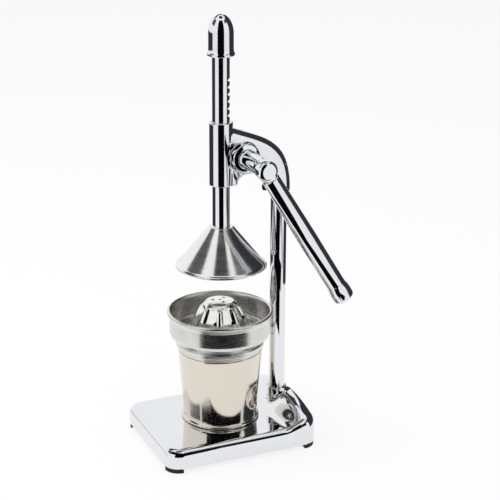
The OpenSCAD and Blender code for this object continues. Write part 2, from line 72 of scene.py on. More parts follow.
class PressSizes(bpy.types.PropertyGroup):
    base_width: length("Width of the base casting", 0.118)
    base_front: length("Front edge of the base ahead of the plunger", 0.0745)
    base_back: length("Back edge of the base behind the plunger", 0.073)
    base_top: length("Height of the flat top the cup stands on", 0.0215)
    hump_top: length("Height of the hump's crest", 0.0375)
    hump_fall: length("Fall of the hump from its middle to the sides", 0.012)
    corner_radius: length("Corner radius of the base in plan", 0.014)
    edge_radius: length("Rounding of the base's top edge", 0.007)
    foot_height: length("Thickness of the rubber feet", 0.004)
    screw_inset: length("Foot screws in from the base's edges", 0.0095)
    column_diameter: length("Diameter of the column", 0.0151)
    column_y: length("Distance from the plunger back to the column", 0.0565)
    socket_z: length("Lower edge of the head's column socket", 0.2344)
    tube_diameter: length("Outside diameter of the guide tube", 0.0215)
    tube_bottom: length("Lower end of the guide tube", 0.2455)
    tube_top: length("Upper end of the guide tube", 0.3028)
    pinion_y: length("Pinion axis behind the plunger", 0.018)
    pinion_z: length("Height of the pinion axis", 0.2715)
    boss_radius: length("Radius of the near bearing boss", 0.0133)
    boss_face: length("Outer face of the near boss", 0.018)
    rod_diameter: length("Diameter of the plunger rod", 0.016)
    total_height: length("Height of the whole press", 0.3975)
    cone_radius: length("Rim radius of the pressing cone", 0.0412)
    cone_rim_z: length("Height of the cone's rim", 0.1697)
    cone_top_z: length("Height of the cone's flat top", 0.207)
    sheet: length("Sheet thickness of cone, cup, bowl and reamer", 0.0012)
    lever_length: length("Pivot to the lever's end", 0.151)
    lever_diameter: length("Diameter of the lever rod in its lower half", 0.0178)
    lever_top_diameter: length("Diameter of the lever rod under the hub", 0.0154)
    lever_x: length("Distance from the plunger out to the lever", 0.054)
    lever_lean: FloatProperty(name="Lever lean", subtype="ANGLE", default=math.radians(31.6),
                              description="Lean of the hanging lever back from straight down")
    cup_ahead: length("How far the cup stands ahead of the plunger", 0.0013)
    cup_radius: length("Cup's outer radius under its rim", 0.0386)
    cup_low_radius: length("Cup's outer radius above its foot", 0.0336)
    cup_top: length("Height of the cup's rim", 0.090)
    bowl_radius: length("Outer radius of the bowl's band", 0.0462)
    bowl_top: length("Height of the bowl's rolled rim", 0.1271)
    reamer_top: length("Height of the reamer's top", 0.1364)
    ribs: IntProperty(name="Ribs", default=8, min=3,
                      description="Ribs and drain holes round the reamer")
    rack_gaps: IntProperty(name="Rack gaps", default=13, min=1,
                           description="Tooth gaps in the plunger rod")


def tint(text, code):
    """A colour that the user may change."""
    return StringProperty(name=text, description=text + ", as an sRGB hex colour", default=code)


class PressFinishes(bpy.types.PropertyGroup):
    chrome: tint("Chrome plate", "E9EBEE")
    stainless: tint("Polished stainless steel", "E2DACE")
    pressed: tint("Bright pressed stainless steel", "F3F2EF")
    spun: tint("Brushed stainless steel", "F2F1EF")
    satin: tint("Satin stainless steel", "E8E6E2")
    gear: tint("Machined gear steel", "A3A3A5")
    zinc: tint("Zinc plate", "B4B8BD")
    oxide: tint("Black oxide", "17181B")
    bronze: tint("Sintered bronze", "B98B4C")
    rubber: tint("Moulded rubber", "1B1B1C")


class PressStage(bpy.types.PropertyGroup):
    lens: FloatProperty(name="Lens", default=104.784, subtype="DISTANCE_CAMERA",
                        description="Focal length on a 36 mm sensor")
    fill: FloatProperty(name="Sky fill", default=0.75, min=0,
                        description="Strength of the white surroundings on matt surfaces")
    key: FloatProperty(name="Key", default=9, unit="POWER",
                       description="Power of the large soft lamp overhead")
    floor: tint("Studio floor", "F4F4F4")
    flag: tint("Black flags", "08080A")
    side_flag: tint("Dark grey side flags", "34373C")
    high_flag: tint("Mid grey flags up on the sides", "55585D")


def in_mm(group):
    """The group's lengths in millimetres; other values as they are."""
    out = SimpleNamespace()
    for name, prop in group.bl_rna.properties.items():
        if name in group.__annotations__:
            value = getattr(group, name)
            setattr(out, name, value * 1000 if getattr(prop, "unit", "") == "LENGTH" else value)
    return out


# ---- places ----

def middle_of(node):
    """Middle of a CAD node's box, in metres."""
    low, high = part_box(node)
    return (Vector(low) + Vector(high)) / 2


# The plunger's axis in the row frame, in millimetres, and the move from plunger coordinates.
PLUNGER = middle_of("top_cap") * 1000
TO_ROW = Matrix.Diagonal((0.001, 0.001, 0.001, 1)) @ Matrix.Translation((PLUNGER.x, PLUNGER.y, 0))


def places(s):
    """Local frames of the pieces, in plunger coordinates."""
    pivot = Matrix.Translation((s.lever_x, s.pinion_y, s.pinion_z))
    shaft = Matrix.Translation((0, s.pinion_y, s.pinion_z))
    return SimpleNamespace(
        plunger=Matrix.Identity(4),
        cup=Matrix.Translation((0, -s.cup_ahead, 0)),
        column=Matrix.Translation((0, s.column_y, 0)),
        pinion=shaft @ Matrix.Rotation(math.radians(90), 4, "Y"),
        lever=pivot @ Matrix.Rotation(s.lever_lean, 4, "X"))


# ---- meshes and objects ----

def raw_mesh(name, points, faces):
    """A mesh of these points and faces, as they are."""
    mesh = bpy.data.meshes.new(name)
    mesh.from_pydata(points, [], faces)
    return mesh


def in_scene(name, data):
    """A new object with this data, linked to the scene."""
    thing = bpy.data.objects.new(name, data)
    bpy.context.scene.collection.objects.link(thing)
    return thing


# ---- turned pieces ----

def arc(r, z, radius, start, end, steps=8):
    """Points of an arc in the profile plane, angles in degrees."""
    return [(r + radius * math.cos(math.radians(start + (end - start) * i / steps)),
             z + radius * math.sin(math.radians(start + (end - start) * i / steps)), 0)
            for i in range(steps + 1)]


def rounded(points, radius=0.4, closed=False):
    """A profile with its corners rounded. A point may bring its own radius as a third number."""
    count = len(points)
    out = []
    for i, point in enumerate(points):
        b = np.array(point[:2], float)
        r = point[2] if len(point) > 2 else radius
        if r == 0 or (not closed and i in (0, count - 1)):
            out.append(tuple(b))
            continue
        u = np.array(points[i - 1][:2], float) - b
        v = np.array(points[(i + 1) % count][:2], float) - b
        lu, lv = np.linalg.norm(u), np.linalg.norm(v)
        u, v = u / lu, v / lv
        half = math.acos(max(-1, min(1, float(u @ v)))) / 2
        if half > math.radians(87):
            out.append(tuple(b))
            continue
        t = min(r / math.tan(half), 0.42 * lu, 0.42 * lv)
        r = t * math.tan(half)
        centre = b + (u + v) / np.linalg.norm(u + v) * r / math.sin(half)
        first, last = b + u * t - centre, b + v * t - centre
        sweep = math.pi - 2 * half
        steps = max(2, round(sweep / math.radians(14)))
        if t + 0.3 < 0.5 * lu:
            out.append(tuple(b + u * (t + 0.3)))
        for k in range(steps + 1):
            w = k / steps
            d = (math.sin((1 - w) * sweep) * first + math.sin(w * sweep) * last) / math.sin(sweep)
            out.append(tuple(centre + d))
        if t + 0.3 < 0.5 * lv:
            out.append(tuple(b + v * (t + 0.3)))
    return out


def turned(profile, steps=128, closed=False):
    """Points and faces of a profile of (radius, height) turned round Z."""
    profile = np.array([p[:2] for p in profile], float)
    n = len(profile)
    turn = np.linspace(0, 2 * math.pi, steps, endpoint=False)
    points = np.stack([profile[:, 0, None] * np.cos(turn), profile[:, 0, None] * np.sin(turn),
                       np.repeat(profile[:, 1, None], steps, 1)], -1).reshape(-1, 3)
    faces = []
    for i in range(n if closed else n - 1):
        a, b = i * steps, (i + 1) % n * steps
        faces += [(a + k, a + (k + 1) % steps, b + (k + 1) % steps, b + k) for k in range(steps)]
    return points, faces


def plain_mesh(name, points, faces):
    """A closed mesh with its doubles merged, poles closed and faces outwards."""
    mesh = bpy.data.meshes.new(name)
    bm = bmesh.new()
    corners = [bm.verts.new(p) for p in np.asarray(points, float)]
    bm.verts.index_update()
    for face in faces:
        bm.faces.new([corners[i] for i in face])
    bmesh.ops.remove_doubles(bm, verts=bm.verts[:], dist=1e-4)
    bmesh.ops.dissolve_degenerate(bm, edges=bm.edges[:], dist=1e-5)
    bmesh.ops.recalc_face_normals(bm, faces=bm.faces[:])
    bm.to_mesh(mesh)
    bm.free()
    return mesh


def turned_mesh(name, profile, steps=128, closed=False):
    """The mesh of a turned profile."""
    return plain_mesh(name, *turned(profile, steps, closed))


def drill(radius, low, high, steps=24):
    """A round cutter about Z."""
    return turned_mesh("drill", [(0, low), (radius, low), (radius, high), (0, high)], steps)


# ---- cast pieces: smooth solids given by a distance, negative inside ----

def along(a, b, r):
    """Solid inside both a and b, with the edge between them rounded by r."""
    a, b = a + r, b + r
    return np.minimum(np.maximum(a, b), 0) + np.hypot(np.maximum(a, 0), np.maximum(b, 0)) - r


def join(a, b, k):
    """Both solids, with a fillet of about k between them."""
    h = np.clip(0.5 + 0.5 * (b - a) / k, 0, 1)
    return b + (a - b) * h - k * h * (1 - h)


def cut(a, b, k=0.4):
    """Solid a without b, with the cut's edge eased by about k."""
    return -join(-a, b, k)


def rod_x(p, y, z, r):
    """An endless round bar along X."""
    return np.hypot(p[:, 1] - y, p[:, 2] - z) - r


def rod_z(p, x, y, r):
    """An endless round bar along Z."""
    return np.hypot(p[:, 0] - x, p[:, 1] - y) - r


def between(v, low, high):
    """The slab between two heights of v."""
    return np.maximum(low - v, v - high)


def inside_outline(outline, u, v):
    """Distance from (u, v) to a closed outline, negative inside it."""
    best = np.full(u.shape, 1e9)
    inside = np.zeros(u.shape, bool)
    ring = np.asarray(outline, float)
    for (au, av), (bu, bv) in zip(ring, np.roll(ring, -1, 0)):
        du, dv = bu - au, bv - av
        t = np.clip(((u - au) * du + (v - av) * dv) / (du * du + dv * dv + 1e-12), 0, 1)
        best = np.minimum(best, (u - au - t * du) ** 2 + (v - av - t * dv) ** 2)
        if dv:
            crosses = (av > v) != (bv > v)
            inside ^= crosses & (u < au + (v - av) * du / dv)
    return np.where(inside, -1, 1) * np.sqrt(best)


def skin(solid, low, high, cell):
    """Quads over a solid's surface: one corner in each cell the surface crosses, drawn onto it."""
    axes = [np.arange(a, b + cell, cell) for a, b in zip(low, high)]
    grid = np.stack(np.meshgrid(*axes, indexing="ij"), -1)
    field = np.concatenate([solid(part) for part in np.array_split(grid.reshape(-1, 3), 8)])
    field = field.reshape(grid.shape[:3])
    cells = tuple(n - 1 for n in field.shape)
    total, number = np.zeros(cells + (3,)), np.zeros(cells)
    for axis, ob, oc in product(range(3), (0, 1), (0, 1)):
        b, c = (axis + 1) % 3, (axis + 2) % 3
        pick = [slice(0, -1)] * 3
        pick[b], pick[c] = slice(ob, cells[b] + ob), slice(oc, cells[c] + oc)
        f0 = field[tuple(pick)]
        pick[axis] = slice(1, None)
        f1 = field[tuple(pick)]
        crossed = (f0 < 0) != (f1 < 0)
        total[..., axis] += np.where(crossed, f0 / np.where(crossed, f0 - f1, 1), 0)
        total[..., b] += ob * crossed
        total[..., c] += oc * crossed
        number += crossed
    mixed = number > 0
    index = np.full(cells, -1)
    index[mixed] = np.arange(mixed.sum())
    points = (np.argwhere(mixed) + total[mixed] / number[mixed][:, None]) * cell + np.array(low)
    faces = []
    for axis in range(3):
        b, c = (axis + 1) % 3, (axis + 2) % 3
        pick = [slice(1, -1)] * 3
        pick[axis] = slice(0, -1)
        f0 = field[tuple(pick)]
        pick[axis] = slice(1, None)
        crossed = (f0 < 0) != (field[tuple(pick)] < 0)
        ring = []
        for ob, oc in ((0, 0), (1, 0), (1, 1), (0, 1)):
            pick = [slice(None)] * 3
            pick[b] = slice(1, None) if ob else slice(0, -1)
            pick[c] = slice(1, None) if oc else slice(0, -1)
            ring.append(index[tuple(pick)][crossed])
        quads = np.stack(ring, 1)
        outward = f0[crossed] < 0
        faces.append(quads[outward])
        faces.append(quads[~outward][:, ::-1])
    faces = np.concatenate(faces)

    def onto(points, times):
        step = 0.01
        for _ in range(times):
            value = solid(points)
            slope = np.stack([(solid(points + d) - solid(points - d)) / (2 * step)
                              for d in np.eye(3) * step], 1)
            move = value[:, None] * slope / np.maximum((slope ** 2).sum(1), 0.2)[:, None]
            points = points - np.clip(move, -0.6 * cell, 0.6 * cell)
        return points

    points = onto(points, 1)
    for _ in range(2):
        near, count = np.zeros_like(points), np.zeros(len(points))
        for k in range(4):
            np.add.at(near, faces[:, k], points[faces[:, (k + 1) % 4]] + points[faces[:, k - 1]])
            np.add.at(count, faces[:, k], 2)
        points = onto(0.5 * points + 0.5 * near / count[:, None], 1)
    return onto(points, 3), faces


def cast_mesh(name, solid, low, high, cell):
    """The skin of a solid inside the box from low to high, as a mesh."""
    points, faces = skin(solid, low, high, cell)
    return raw_mesh(name, points.tolist(), faces.tolist())


# ---- copies made by Geometry Nodes ----

def add_node(tree, kind, inputs=None, **settings):
    """Adds a node, sets its attributes, and sets or links its inputs.

    A link is given as a node, for its first output, or as (node, output)."""
    node = tree.nodes.new(kind)
    for key, value in settings.items():
        setattr(node, key, value)
    for key, value in (inputs or {}).items():
        if isinstance(value, bpy.types.Node):
            tree.links.new(value.outputs[0], node.inputs[key])
        elif isinstance(value, tuple) and isinstance(value[0], bpy.types.Node):
            tree.links.new(value[0].outputs[value[1]], node.inputs[key])
        else:
            node.inputs[key].default_value = value
    return node


def shader_tree(owner):
    """The emptied node tree of a material or world."""
    owner.use_nodes = True
    owner.node_tree.nodes.clear()
    return owner.node_tree


def geometry_tree(name, sockets):
    """A geometry tree with named inputs, and its input and output nodes."""
    tree = bpy.data.node_groups.new(name, "GeometryNodeTree")
    tree.interface.new_socket("Geometry", in_out="INPUT", socket_type="NodeSocketGeometry")
    for label, kind in sockets.items():
        tree.interface.new_socket(label, in_out="INPUT", socket_type="NodeSocket" + kind)
    tree.interface.new_socket("Geometry", in_out="OUTPUT", socket_type="NodeSocketGeometry")
    return tree, add_node(tree, "NodeGroupInput")


def copies_tree(cuts):
    """Copies of one part in a row or a ring: copy i is moved by i steps and turned by i turns.

    Where cuts is true the copies are cut out of the geometry, or else they are the result."""
    sockets = {"Part": "Object", "Count": "Int", "Step": "Vector", "Start": "Float",
               "Turn": "Float", "Material": "Material"}
    tree, given = geometry_tree("cut_copies" if cuts else "place_copies", sockets)
    part = add_node(tree, "GeometryNodeObjectInfo", {"Object": (given, "Part")})
    index = add_node(tree, "GeometryNodeInputIndex")
    offset = add_node(tree, "ShaderNodeVectorMath", {0: (given, "Step"), "Scale": index},
                      operation="SCALE")
    points = add_node(tree, "GeometryNodePoints", {"Count": (given, "Count"), "Position": offset})
    turned_by = add_node(tree, "ShaderNodeMath",
                         {0: index, 1: (given, "Turn"), 2: (given, "Start")},
                         operation="MULTIPLY_ADD")
    spin = add_node(tree, "ShaderNodeCombineXYZ", {"Z": turned_by})
    rotation = add_node(tree, "FunctionNodeEulerToRotation", {0: spin})
    copies = add_node(tree, "GeometryNodeInstanceOnPoints",
                      {"Points": points, "Instance": (part, "Geometry"), "Rotation": rotation})
    result = add_node(tree, "GeometryNodeRealizeInstances", {0: copies})
    if cuts:
        rest = add_node(tree, "GeometryNodeMeshBoolean",
                        {"Mesh 1": (given, "Geometry"), "Mesh 2": result},
                        operation="DIFFERENCE", solver="EXACT")
        result = add_node(tree, "GeometryNodeRealizeInstances", {0: rest})
    paint = add_node(tree, "GeometryNodeSetMaterial",
                     {"Geometry": result, "Material": (given, "Material")})
    add_node(tree, "NodeGroupOutput", {0: paint})
    return tree


# Arithmetic of the rib tree: result, operation and its parts, which are numbers, the tree's
# inputs, parts of the position or earlier results.
RIB_STEPS = (
    ("angle", "ARCTAN2", "y", "x"),
    ("turned", "SUBTRACT", "angle", "Start"),
    ("phase", "MULTIPLY", "turned", "Count"),
    ("wave", "COSINE", "phase"),
    ("half", "MULTIPLY", "Width", "Count"),
    ("edge", "COSINE", "half"),
    ("ridge", "SMOOTHSTEP", "wave", "edge"),
    ("low_full", "ADD", "Low", 4),
    ("low_fade", "SMOOTHSTEP", "z", "Low", "low_full"),
    ("high_full", "ADD", "High", -3),
    ("high_fade", "SMOOTHSTEP", "z", "High", "high_full"),
    ("fade", "MULTIPLY", "low_fade", "high_fade"),
    ("mask", "MULTIPLY", "fade", "ridge"),
    ("rise", "MULTIPLY", "mask", "Height"),
    ("sag", "SUBTRACT", "wave", 1),
    ("share", "MULTIPLY", "sag", "Flatness"),
    ("depth", "MULTIPLY", "share", "radius"),
    ("amount", "MULTIPLY_ADD", "depth", "fade", "rise"))


def rib_tree():
    """Pressed ribs round an upright skin, with flatter panels between them.

    The skin is pushed outwards along even lines; ribs and panels fade out at Low and High."""
    labels = ("Count", "Start", "Height", "Width", "Flatness", "Low", "High")
    sockets = {**dict.fromkeys(labels, "Float"), "Material": "Material"}
    tree, given = geometry_tree("pressed_ribs", sockets)
    position = add_node(tree, "GeometryNodeInputPosition")
    place = add_node(tree, "ShaderNodeSeparateXYZ", {0: position})
    flat = add_node(tree, "ShaderNodeCombineXYZ", {"X": (place, "X"), "Y": (place, "Y")})
    outwards = add_node(tree, "ShaderNodeVectorMath", {0: flat}, operation="NORMALIZE")
    radius = add_node(tree, "ShaderNodeVectorMath", {0: flat}, operation="LENGTH")
    known = {label: (given, label) for label in labels}
    known.update({axis.lower(): (place, axis) for axis in "XYZ"}, radius=(radius, "Value"))
    for result, operation, *parts in RIB_STEPS:
        parts = [known.get(part, part) for part in parts]
        if operation == "SMOOTHSTEP":
            inputs = dict(zip(("Value", "From Min", "From Max"), parts))
            known[result] = add_node(tree, "ShaderNodeMapRange", inputs,
                                     interpolation_type=operation)
        else:
            known[result] = add_node(tree, "ShaderNodeMath", dict(enumerate(parts)),
                                     operation=operation)
    push = add_node(tree, "ShaderNodeVectorMath", {0: outwards, "Scale": known["amount"]},
                    operation="SCALE")
    moved = add_node(tree, "GeometryNodeSetPosition",
                     {"Geometry": (given, "Geometry"), "Offset": push})
    single = add_node(tree, "GeometryNodeRealizeInstances", {0: moved})
    paint = add_node(tree, "GeometryNodeSetMaterial",
                     {"Geometry": single, "Material": (given, "Material")})
    add_node(tree, "NodeGroupOutput", {0: paint})
    return tree


def run_tree(mesh, tree, **values):
    """The mesh after one Geometry Nodes tree, as a plain mesh."""
    holder = in_scene("holder", mesh)
    modifier = holder.modifiers.new("tree", "NODES")
    modifier.node_group = tree
    for item in tree.interface.items_tree:
        label = item.name.lower()
        if item.in_out == "INPUT" and label in values:
            modifier[item.identifier] = values[label]
    seen = bpy.context.evaluated_depsgraph_get()
    result = bpy.data.meshes.new_from_object(holder.evaluated_get(seen), depsgraph=seen)
    holder.modifiers.remove(modifier)
    bpy.data.objects.remove(holder)
    return result


def copied(mesh, part, finish, cuts, count, step=(0, 0, 0), start=0, turn=0):
    """Runs the copies tree, angles in degrees, with a part that is removed again afterwards."""
    key = "cut_copies" if cuts else "place_copies"
    tree = bpy.data.node_groups.get(key) or copies_tree(cuts)
    tool = in_scene("part", part)
    result = run_tree(mesh, tree, part=tool, count=count, step=step, start=math.radians(start),
                      turn=math.radians(turn), material=finish)
    bpy.data.objects.remove(tool)
    return result


# ---- handing a piece to the frame ----

def hand_over(name, mesh, place, body, slot, nodes, finishes, crease=38, look=None):
    """The finish is that of the material slot, unless look names another one."""
    mesh.transform(TO_ROW @ place)
    mesh.name = name
    mesh.materials.clear()
    mesh.materials.append(finishes[look or slot])
    mesh.shade_smooth()
    if crease:
        mesh.set_sharp_from_angle(angle=math.radians(crease))
    piece = in_scene(name, mesh)
    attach(piece, body)
    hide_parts(*nodes)
    return piece


def give_finish(node, finish):
    """Puts a procedural finish on a CAD node that stays."""
    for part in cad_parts[node].material_slots:
        part.material = finish


# ---- finishes ----

def linear(code):
    """An sRGB hex colour as linear RGBA."""
    parts = [int(code[i:i + 2], 16) / 255 for i in (0, 2, 4)]
    return (*(c / 12.92 if c <= 0.04045 else ((c + 0.055) / 1.055) ** 2.4 for c in parts), 1.0)


def shaded(code, factor):
    """The colour made darker or lighter by a factor."""
    r, g, b, a = linear(code)
    return (r * factor, g * factor, b * factor, a)


def per_mm(size):
    """Texture scale for features of this many millimetres."""
    return 1000 / size


def one_or_sum(tree, layers, picks):
    """One noise layer, or the sum of two brought back to 0 to 1."""
    if len(picks) == 1:
        return layers[picks[0]]
    both = add_node(tree, "ShaderNodeMath", {0: layers[picks[0]], 1: layers[picks[1]]},
                    operation="ADD")
    return add_node(tree, "ShaderNodeMapRange", {"Value": both, "From Min": 0.7, "From Max": 1.3})


def surface(name, code, noises, tone, shades, shine, gloss, bumps, metallic=1.0):
    """A finish from layers of noise on object coordinates.

    noises: size in millimetres, detail and stretch round Z of each layer. tone and shine: the
    layers that drive the colour between two shades of the code, and the roughness between two
    values. bumps: layer, strength and depth in metres."""
    finish = bpy.data.materials.new(name)
    tree = shader_tree(finish)
    spot = (add_node(tree, "ShaderNodeTexCoord"), "Object")
    layers = []
    for size, detail, stretch in noises:
        along_z = spot if stretch == 1 else add_node(
            tree, "ShaderNodeMapping", {"Vector": spot, "Scale": (stretch, stretch, 1.0)})
        layers.append(add_node(tree, "ShaderNodeTexNoise",
                               {"Vector": along_z, "Scale": per_mm(size), "Detail": detail}))
    ramp = add_node(tree, "ShaderNodeValToRGB", {"Fac": one_or_sum(tree, layers, tone)})
    for stop, factor in zip(ramp.color_ramp.elements, shades):
        stop.color = shaded(code, factor)
    rough = add_node(tree, "ShaderNodeMapRange", {"Value": one_or_sum(tree, layers, shine),
                                                  "To Min": gloss[0], "To Max": gloss[1]})
    inputs = {"Base Color": ramp, "Roughness": rough, "Metallic": metallic}
    for layer, strength, depth in bumps:
        settings = {"Height": layers[layer], "Strength": strength, "Distance": depth}
        if "Normal" in inputs:
            settings["Normal"] = inputs["Normal"]
        inputs["Normal"] = add_node(tree, "ShaderNodeBump", settings)
    shader = add_node(tree, "ShaderNodeBsdfPrincipled", inputs)
    add_node(tree, "ShaderNodeOutputMaterial", {"Surface": shader})
    return finish


def spun(colour, ring_mm, gloss, swing, depth):
    """Stainless sheet finished on the lathe: marks run round the axis, so highlights spread along
    the profile, and the tone varies softly round the piece."""
    return dict(colour=colour, noises=((ring_mm, 3.0, 0.03), (30, 2.0, 1)), tone=(0, 1),
                shades=(1 - 2.4 * swing, 1), shine=(0, 1), gloss=(gloss - swing, gloss + swing),
                bumps=((0, 0.3, depth),))


def grained(colour, gloss, grain_mm, depth, metallic=1.0):
    """An even finish with fine grain and a little staining in the colour."""
    return dict(colour=colour, noises=((grain_mm, 4.0, 1),), tone=(0,), shades=(0.75, 1.1),
                shine=(0,), gloss=(gloss - 0.08, gloss + 0.08), bumps=((0, 0.3, depth),),
                metallic=metallic)


FINISHES = {
    # Zinc alloy casting, buffed and chrome plated: a bright cold mirror that swims a little,
    # because buffing leaves shallow waves about 14 mm long and the plate a fine orange peel.
    "cast_chrome": ("buffed_cast_chrome_plate", dict(
        colour="chrome", noises=((14, 1.0, 1), (2.2, 2.0, 1), (25, 4.0, 1)), tone=(2,),
        shades=(0.93, 1), shine=(2,), gloss=(0.03, 0.07),
        bumps=((0, 0.1, 0.00008), (1, 0.12, 0.00001)))),
    # Ground steel bar, chrome plated: a straight mirror with faint rings left by grinding.
    # Real rings are about 0.1 mm apart; they are drawn 0.7 mm apart so that they show.
    "chrome_bar": ("ground_bar_chrome_plate", dict(
        colour="chrome", noises=((0.7, 2.0, 0.08), (18, 3.0, 1)), tone=(1,), shades=(0.95, 1),
        shine=(0,), gloss=(0.025, 0.06), bumps=((0, 0.15, 0.000004),))),
    # Deep drawn sheet, polished round: a warm mirror whose reflections blur a little.
    "polished_stainless": ("polished_drawn_stainless",
                           spun("stainless", 1.1, 0.12, 0.015, 0.000002)),
    # Spun cone, brushed round: soft bright rays from the neck to the rim.
    "brushed_stainless": ("brushed_spun_stainless", spun("spun", 0.5, 0.16, 0.05, 0.000003)),
    # Pressed sheet, bright rolled: the reamer's panels flash white beside its dark ribs.
    "reamer_steel": ("pressed_bright_stainless", spun("pressed", 0.8, 0.15, 0.05, 0.000003)),
    # Spun bowl, satin finished: reflections stay, with soft edges.
    "satin_stainless": ("satin_spun_stainless", spun("satin", 0.6, 0.28, 0.05, 0.000004)),
    # Cut gear steel, oiled: a grey half gloss with tool grain.
    "gear_steel": ("hobbed_gear_steel", grained("gear", 0.35, 0.8, 0.00001)),
    # Bright zinc plate: bluish, slightly cloudy.
    "zinc": ("bright_zinc_plate", grained("zinc", 0.3, 0.6, 0.00001)),
    # Black oxide: a dark oily sheen.
    "black_steel": ("black_oxide_steel", grained("oxide", 0.45, 0.5, 0.00001)),
    # Sintered bronze: brown yellow with open pores, almost without shine.
    "bronze": ("sintered_bronze", grained("bronze", 0.5, 0.4, 0.00003)),
    # Moulded rubber: matt black with the mould's spark grain.
    "rubber": ("moulded_rubber", grained("rubber", 0.75, 0.7, 0.00004, metallic=0.0)),
}


def all_finishes(colours):
    """Every finish of the press by its material slot, made once."""
    out = {}
    for slot, (name, recipe) in FINISHES.items():
        rest = {key: value for key, value in recipe.items() if key != "colour"}
        code = getattr(colours, recipe["colour"])
        out[slot] = bpy.data.materials.get(name) or surface(name, code, **rest)
    return out


def tools(context):
    """Sizes in millimetres, local frames and finishes."""
    s = in_mm(context.scene.press_sizes)
    return s, places(s), all_finishes(context.scene.press_finishes)


# ---- base, column and feet ----

def base_plan(s):
    """Middle and half size of the base in plan, and the places of its four foot screws."""
    mid = (s.base_back - s.base_front) / 2
    half = s.base_width / 2, (s.base_back + s.base_front) / 2
    spots = [(sx * (half[0] - s.screw_inset), mid + sy * (half[1] - s.screw_inset))
             for sx, sy in product((-1, 1), (-1, 1))]
    return mid, half, spots


def base_outline(p, s, inset):
    """Distance in plan to the base's rounded outline, moved in by inset."""
    mid, half, _ = base_plan(s)
    return along(np.abs(p[:, 0]) - half[0] + inset, np.abs(p[:, 1] - mid) - half[1] + inset,
                 s.corner_radius - inset)


class PRESS_OT_base(bpy.types.Operator):
    """Hollow chromed base casting: flat in front, arched hump behind, collar round the column"""
    bl_idname = "press.base"
    bl_label = "Base casting"

    def execute(self, context):
        s, at, finish = tools(context)
        mid, half, spots = base_plan(s)
        wall, roof = 4.0, 4.6
        hump_start, hump_run = 38, 25
        post_r, thread_r, thread_top = 6.2, 1.8, 14.2
        stem_r, stem_low, seat, bolt_r = 14, 8, 12.4, 4.3

        def height(p):
            t = np.clip((p[:, 1] - hump_start) / hump_run, 0, 1)
            crest = s.hump_top - s.hump_fall * (2 * p[:, 0] / s.base_width) ** 2
            return s.base_top + (crest - s.base_top) * t * t * (3 - 2 * t)

        def solid(p):
            z, top, column = p[:, 2], height(p), rod_z(p, 0, s.column_y, 0)
            body = along(base_outline(p, s, 0), z - top, s.edge_radius)
            body = along(body, s.foot_height - z, 0.6)
            collar = along(column - (s.column_diameter / 2 + 1.4), z - s.hump_top - 4, 0.7)
            body = join(body, np.maximum(collar, s.hump_top - 12 - z), 4.5)
            hollow = along(base_outline(p, s, wall), z - top + roof, 4)
            hollow = np.maximum(hollow, stem_r - column)
            for x, y in spots:
                hollow = cut(hollow, rod_z(p, x, y, post_r), 1.0)
            hollow = join(hollow, np.maximum(column - stem_r - 0.2, z - stem_low), 0.6)
            body = cut(body, hollow, 0.8)
            body = cut(body, np.maximum(column - s.column_diameter / 2 - 0.15, seat - z))
            body = cut(body, column - bolt_r)
            for x, y in spots:
                body = cut(body, np.maximum(rod_z(p, x, y, thread_r), z - thread_top), 0.2)
            return body

        mesh = cast_mesh("base_casting", solid,
                         (-half[0] - 1, mid - half[1] - 1, s.foot_height - 1),
                         (half[0] + 1, mid + half[1] + 1, s.hump_top + 6), 1.25)
        hand_over("base_casting", mesh, at.plunger, "stand", "cast_chrome", ["base"], finish, 0)
        return {"FINISHED"}


class PRESS_OT_column(bpy.types.Operator):
    """Chromed round bar between the base and the head"""
    bl_idname = "press.column"
    bl_label = "Column"

    def execute(self, context):
        s, at, finish = tools(context)
        r, low, high = s.column_diameter / 2, 12.5, s.socket_z + 24
        bolt_r, bolt_top = 4.1, low + 26
        foot = rounded([(0, bolt_top), (bolt_r, bolt_top), (bolt_r, low), (r, low, 1),
                        (r, low + 40)])[:-1]
        head = rounded([(r, low + 40), (r, high, 1), (0, high)])[1:]
        profile = foot + [(r, z) for z in np.linspace(low + 40, high - 4, 12)] + head
        mesh = turned_mesh("column_bar", profile, 96)
        hand_over("column_bar", mesh, at.column, "stand", "chrome_bar", ["column"], finish)
        return {"FINISHED"}


class PRESS_OT_feet(bpy.types.Operator):
    """Moulded rubber corner pads under the base"""
    bl_idname = "press.feet"
    bl_label = "Feet"

    def execute(self, context):
        s, at, finish = tools(context)
        mid, half, _ = base_plan(s)
        pad, edge, screw_r, head_r, head_low, reach = 14, 0.5, 1.9, 3.4, 1.8, 9

        def solid(p):
            x, y, z = np.abs(p[:, 0]), np.abs(p[:, 1] - mid), p[:, 2]
            corner = along(half[0] - pad - x, half[1] - pad - y, 2.5)
            body = along(along(base_outline(p, s, edge), corner, 1.0),
                         between(z, 0, s.foot_height - 0.02), 0.5)
            screw = np.hypot(x - half[0] + s.screw_inset, y - half[1] + s.screw_inset)
            body = cut(body, screw - screw_r, 0.2)
            return cut(body, np.maximum(screw - head_r, z - head_low), 0.2)

        points, faces, shift = [], [], 0
        for sx, sy in product((-1, 1), (-1, 1)):
            x, y = sx * (half[0] - pad / 2), mid + sy * (half[1] - pad / 2)
            some, quads = skin(solid, (x - reach, y - reach, -0.7),
                               (x + reach, y + reach, s.foot_height + 0.7), 0.6)
            points += some.tolist()
            faces += (quads + shift).tolist()
            shift += len(some)
        mesh = raw_mesh("corner_pads", points, faces)
        hand_over("corner_pads", mesh, at.plunger, "stand", "rubber", ["feet"], finish, 0)
        return {"FINISHED"}


# ---- head ----

# Clamp screw, in millimetres: its height above the socket's lower edge, and how far its lug
# reaches out from the column's axis.
CLAMP_UP, CLAMP_OUT = 3.6, 12.6

# Bearing cover: radius of its ring of screws and distance from the plunger's axis to its outer
# face, in millimetres, and the number of screws.
COVER_RING, COVER_FACE, COVER_SCREWS = 17.2, 14.5, 3


